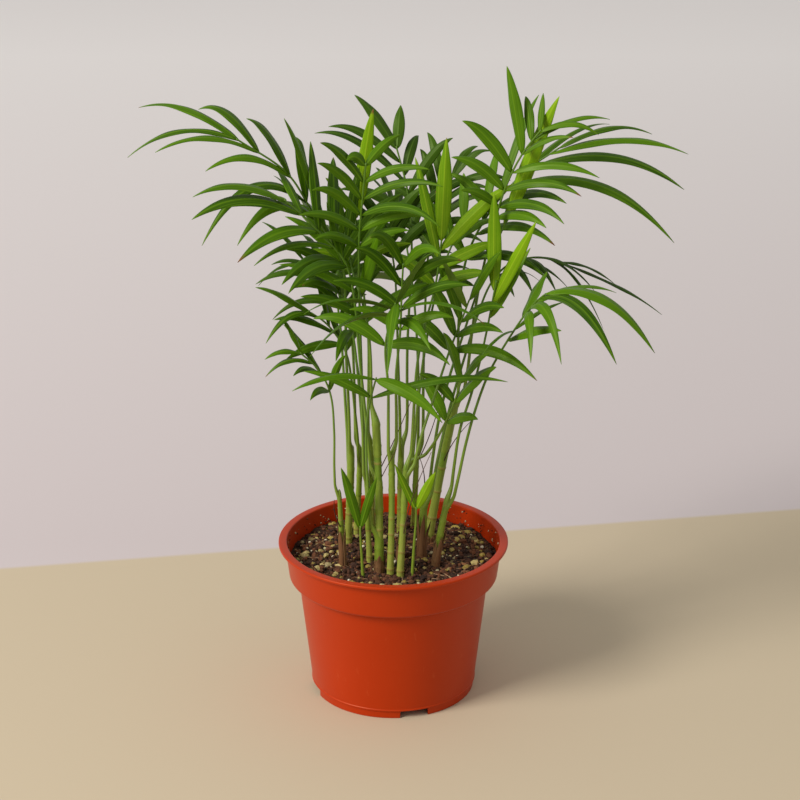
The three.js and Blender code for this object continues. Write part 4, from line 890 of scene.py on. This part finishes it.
def sheathed(line, radii, wraps):
    """A stalk's line and radii with, at its foot, the green sheath by which it wraps its cane."""
    nearest = min(canes, key=lambda c: np.linalg.norm(canes[c][0] - line[0], axis=1).min())
    axis, wide = canes[nearest]
    j = int(np.argmin(np.linalg.norm(axis - line[0], axis=1)))
    step = np.linalg.norm(axis[1] - axis[0])
    rise = (axis[-1] - axis[-5]) / np.linalg.norm(axis[-1] - axis[-5])
    along = np.concatenate([[0], np.cumsum(np.linalg.norm(np.diff(line, axis=0), axis=1))])
    swell = 1.07 + 0.05 * wraps.get(nearest, 0)
    wraps[nearest] = wraps.get(nearest, 0) + 1
    points, sizes = [], []
    for t in np.arange(-SHEATH_BELOW, SHEATH_ABOVE, 1.5 * MM):
        at = j + t / step
        past = max(0.0, at - (len(axis) - 1)) * step
        k = int(min(max(at, 0), len(axis) - 1))
        on_cane = axis[k] + rise * past
        away = min(1.0, max(0.0, t / SHEATH_ABOVE))
        away = away * away * (3 - 2 * away)
        on_stalk = np.array([np.interp(max(t, 0), along, line[:, m]) for m in range(3)])
        hug = wide[k] * (swell if t > 4 * MM - SHEATH_BELOW else 0.9)
        points.append(on_cane * (1 - away) + on_stalk * away)
        sizes.append(hug * (1 - away) + np.interp(max(t, 0), along, radii) * away)
    rest = along > SHEATH_ABOVE
    return np.vstack([points, line[rest]]), np.concatenate([sizes, radii[rest]])


wraps = {}
slots = {part["node"]: part["material_slot"] for part in frame["record"]["subparts"]}
for name in sorted(n for n in frame["nodes"] if n.startswith(("frond_", "seedling_"))):
    rand = random.Random(name)
    slot = slots[name]
    knots, halves, leaflets = read_frond(name)
    line, where, at = spline(knots, 1.5 * MM)
    radii = np.interp(where, at, halves) * (1.0 + 0.3 * np.exp(-where / (9 * MM)))
    dressed = sheathed(line, radii, wraps) if name.startswith("frond_") else (line, radii)
    points, faces, uvs = tube(*dressed, 14)
    make_piece(name + "_stalk", points, faces, stalk_skin, uvs)
    points, faces, uvs, layers = [], [], [], {"tone": [], "under": [], "dry": []}
    for root, first, second, tip in leaflets:
        seat = line[np.argmin(np.linalg.norm(line - root, axis=1))]
        breadth = FROND_BREADTH if name.startswith("frond_") else SEEDLING_BREADTH
        more, sides, flat, colours = blade(root + (seat - root) * 0.4, first, second, tip, rand, breadth)
        faces += [tuple(len(points) + k for k in side) for side in sides]
        points += more
        uvs += flat
        for label in layers:
            layers[label] += colours[label]
    blades = make_piece(name + "_leaflets", points, faces, BLADES[slot], uvs, layers)
    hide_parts(name)

# ---------------------------------------------------------------- stage
# A plain pale floor, one large soft light high on the left and in front, pale light all round, and the
# camera a little above the plant.

FLOOR_HALF = 6.0
# The two tones meet along a slanting line behind the pot.
TONES_MEET = 0.247
TONES_BLEND = 0.005
floor_mesh = bpy.data.meshes.new("floor")
floor_mesh.from_pydata(
    [(-FLOOR_HALF, -FLOOR_HALF, 0), (FLOOR_HALF, -FLOOR_HALF, 0), (FLOOR_HALF, FLOOR_HALF, 0),
     (-FLOOR_HALF, FLOOR_HALF, 0)], [], [(0, 1, 2, 3)])
floor = bpy.data.objects.new("floor", floor_mesh)
bpy.context.scene.collection.objects.link(floor)
# Matt studio paper in two tones: sand in front, and pale grey behind, with painted light that makes it
# lighter with distance.
paper, tree, shader = new_material("studio_paper", 0.75, 1.4)
place = add_node(tree, "ShaderNodeTexCoord")
apart = add_node(tree, "ShaderNodeSeparateXYZ", {}, {"Vector": place.outputs["Object"]})
slant = add_node(
    tree, "ShaderNodeMath", {"operation": "MULTIPLY_ADD", 1: -0.18},
    {0: apart.outputs["X"], 2: apart.outputs["Y"]})
far = add_node(
    tree, "ShaderNodeMapRange",
    {"From Min": TONES_MEET, "From Max": TONES_MEET + TONES_BLEND, "To Min": 0.0, "To Max": 1.0},
    {"Value": slant.outputs["Value"]})
# Painted light: the grey behind grows lighter with distance, where the lamp's light falls off.
painted_far_light_mask = add_node(
    tree, "ShaderNodeMapRange", {"From Min": 0.25, "From Max": 2.2, "To Min": 0.0, "To Max": 1.0},
    {"Value": apart.outputs["Y"]})
painted_far_light_grey = add_node(
    tree, "ShaderNodeMixRGB", {"Color1": linear("#c7bebf"), "Color2": linear("#f2efee")},
    {"Fac": painted_far_light_mask.outputs["Result"]})
two_tone = add_node(
    tree, "ShaderNodeMixRGB", {"Color1": linear("#c4b69c")},
    {"Fac": far.outputs["Result"], "Color2": painted_far_light_grey.outputs["Color"]})
tree.links.new(two_tone.outputs["Color"], shader.inputs["Base Color"])
floor_mesh.materials.append(paper)

world = bpy.data.worlds.new("studio")
bpy.context.scene.world = world
world.use_nodes = True
world.node_tree.nodes["Background"].inputs["Color"].default_value = linear("#f4f1ee")
world.node_tree.nodes["Background"].inputs["Strength"].default_value = 0.6


def soft_light(name, place, aim, size, power, colour):
    lamp = bpy.data.lights.new(name, "AREA")
    lamp.size = size
    lamp.energy = power
    lamp.color = linear(colour)[:3]
    made = bpy.data.objects.new(name, lamp)
    bpy.context.scene.collection.objects.link(made)
    way = np.array(aim) - np.array(place)
    made.location = place
    tilt = math.acos(-way[2] / np.linalg.norm(way))
    made.rotation_euler = (tilt, 0, math.atan2(way[1], way[0]) - math.pi / 2)
    return made


KEY_PLACE = (-2.7, -1.8, 2.4)
KEY_SIZE = 1.5
KEY_WATTS = 150
soft_light("key", KEY_PLACE, (0, 0, 0.2), KEY_SIZE, KEY_WATTS, "#fff9f3")

bpy.context.scene.view_settings.view_transform = "Standard"
lens = bpy.data.cameras.new("camera")
lens.lens = 99
lens.sensor_width = 36
camera = bpy.data.objects.new("camera", lens)
bpy.context.scene.collection.objects.link(camera)
camera.location = (0.0048, -1.444, 0.769)
camera.rotation_euler = (math.radians(69.2), 0, 0)
bpy.context.scene.camera = camera
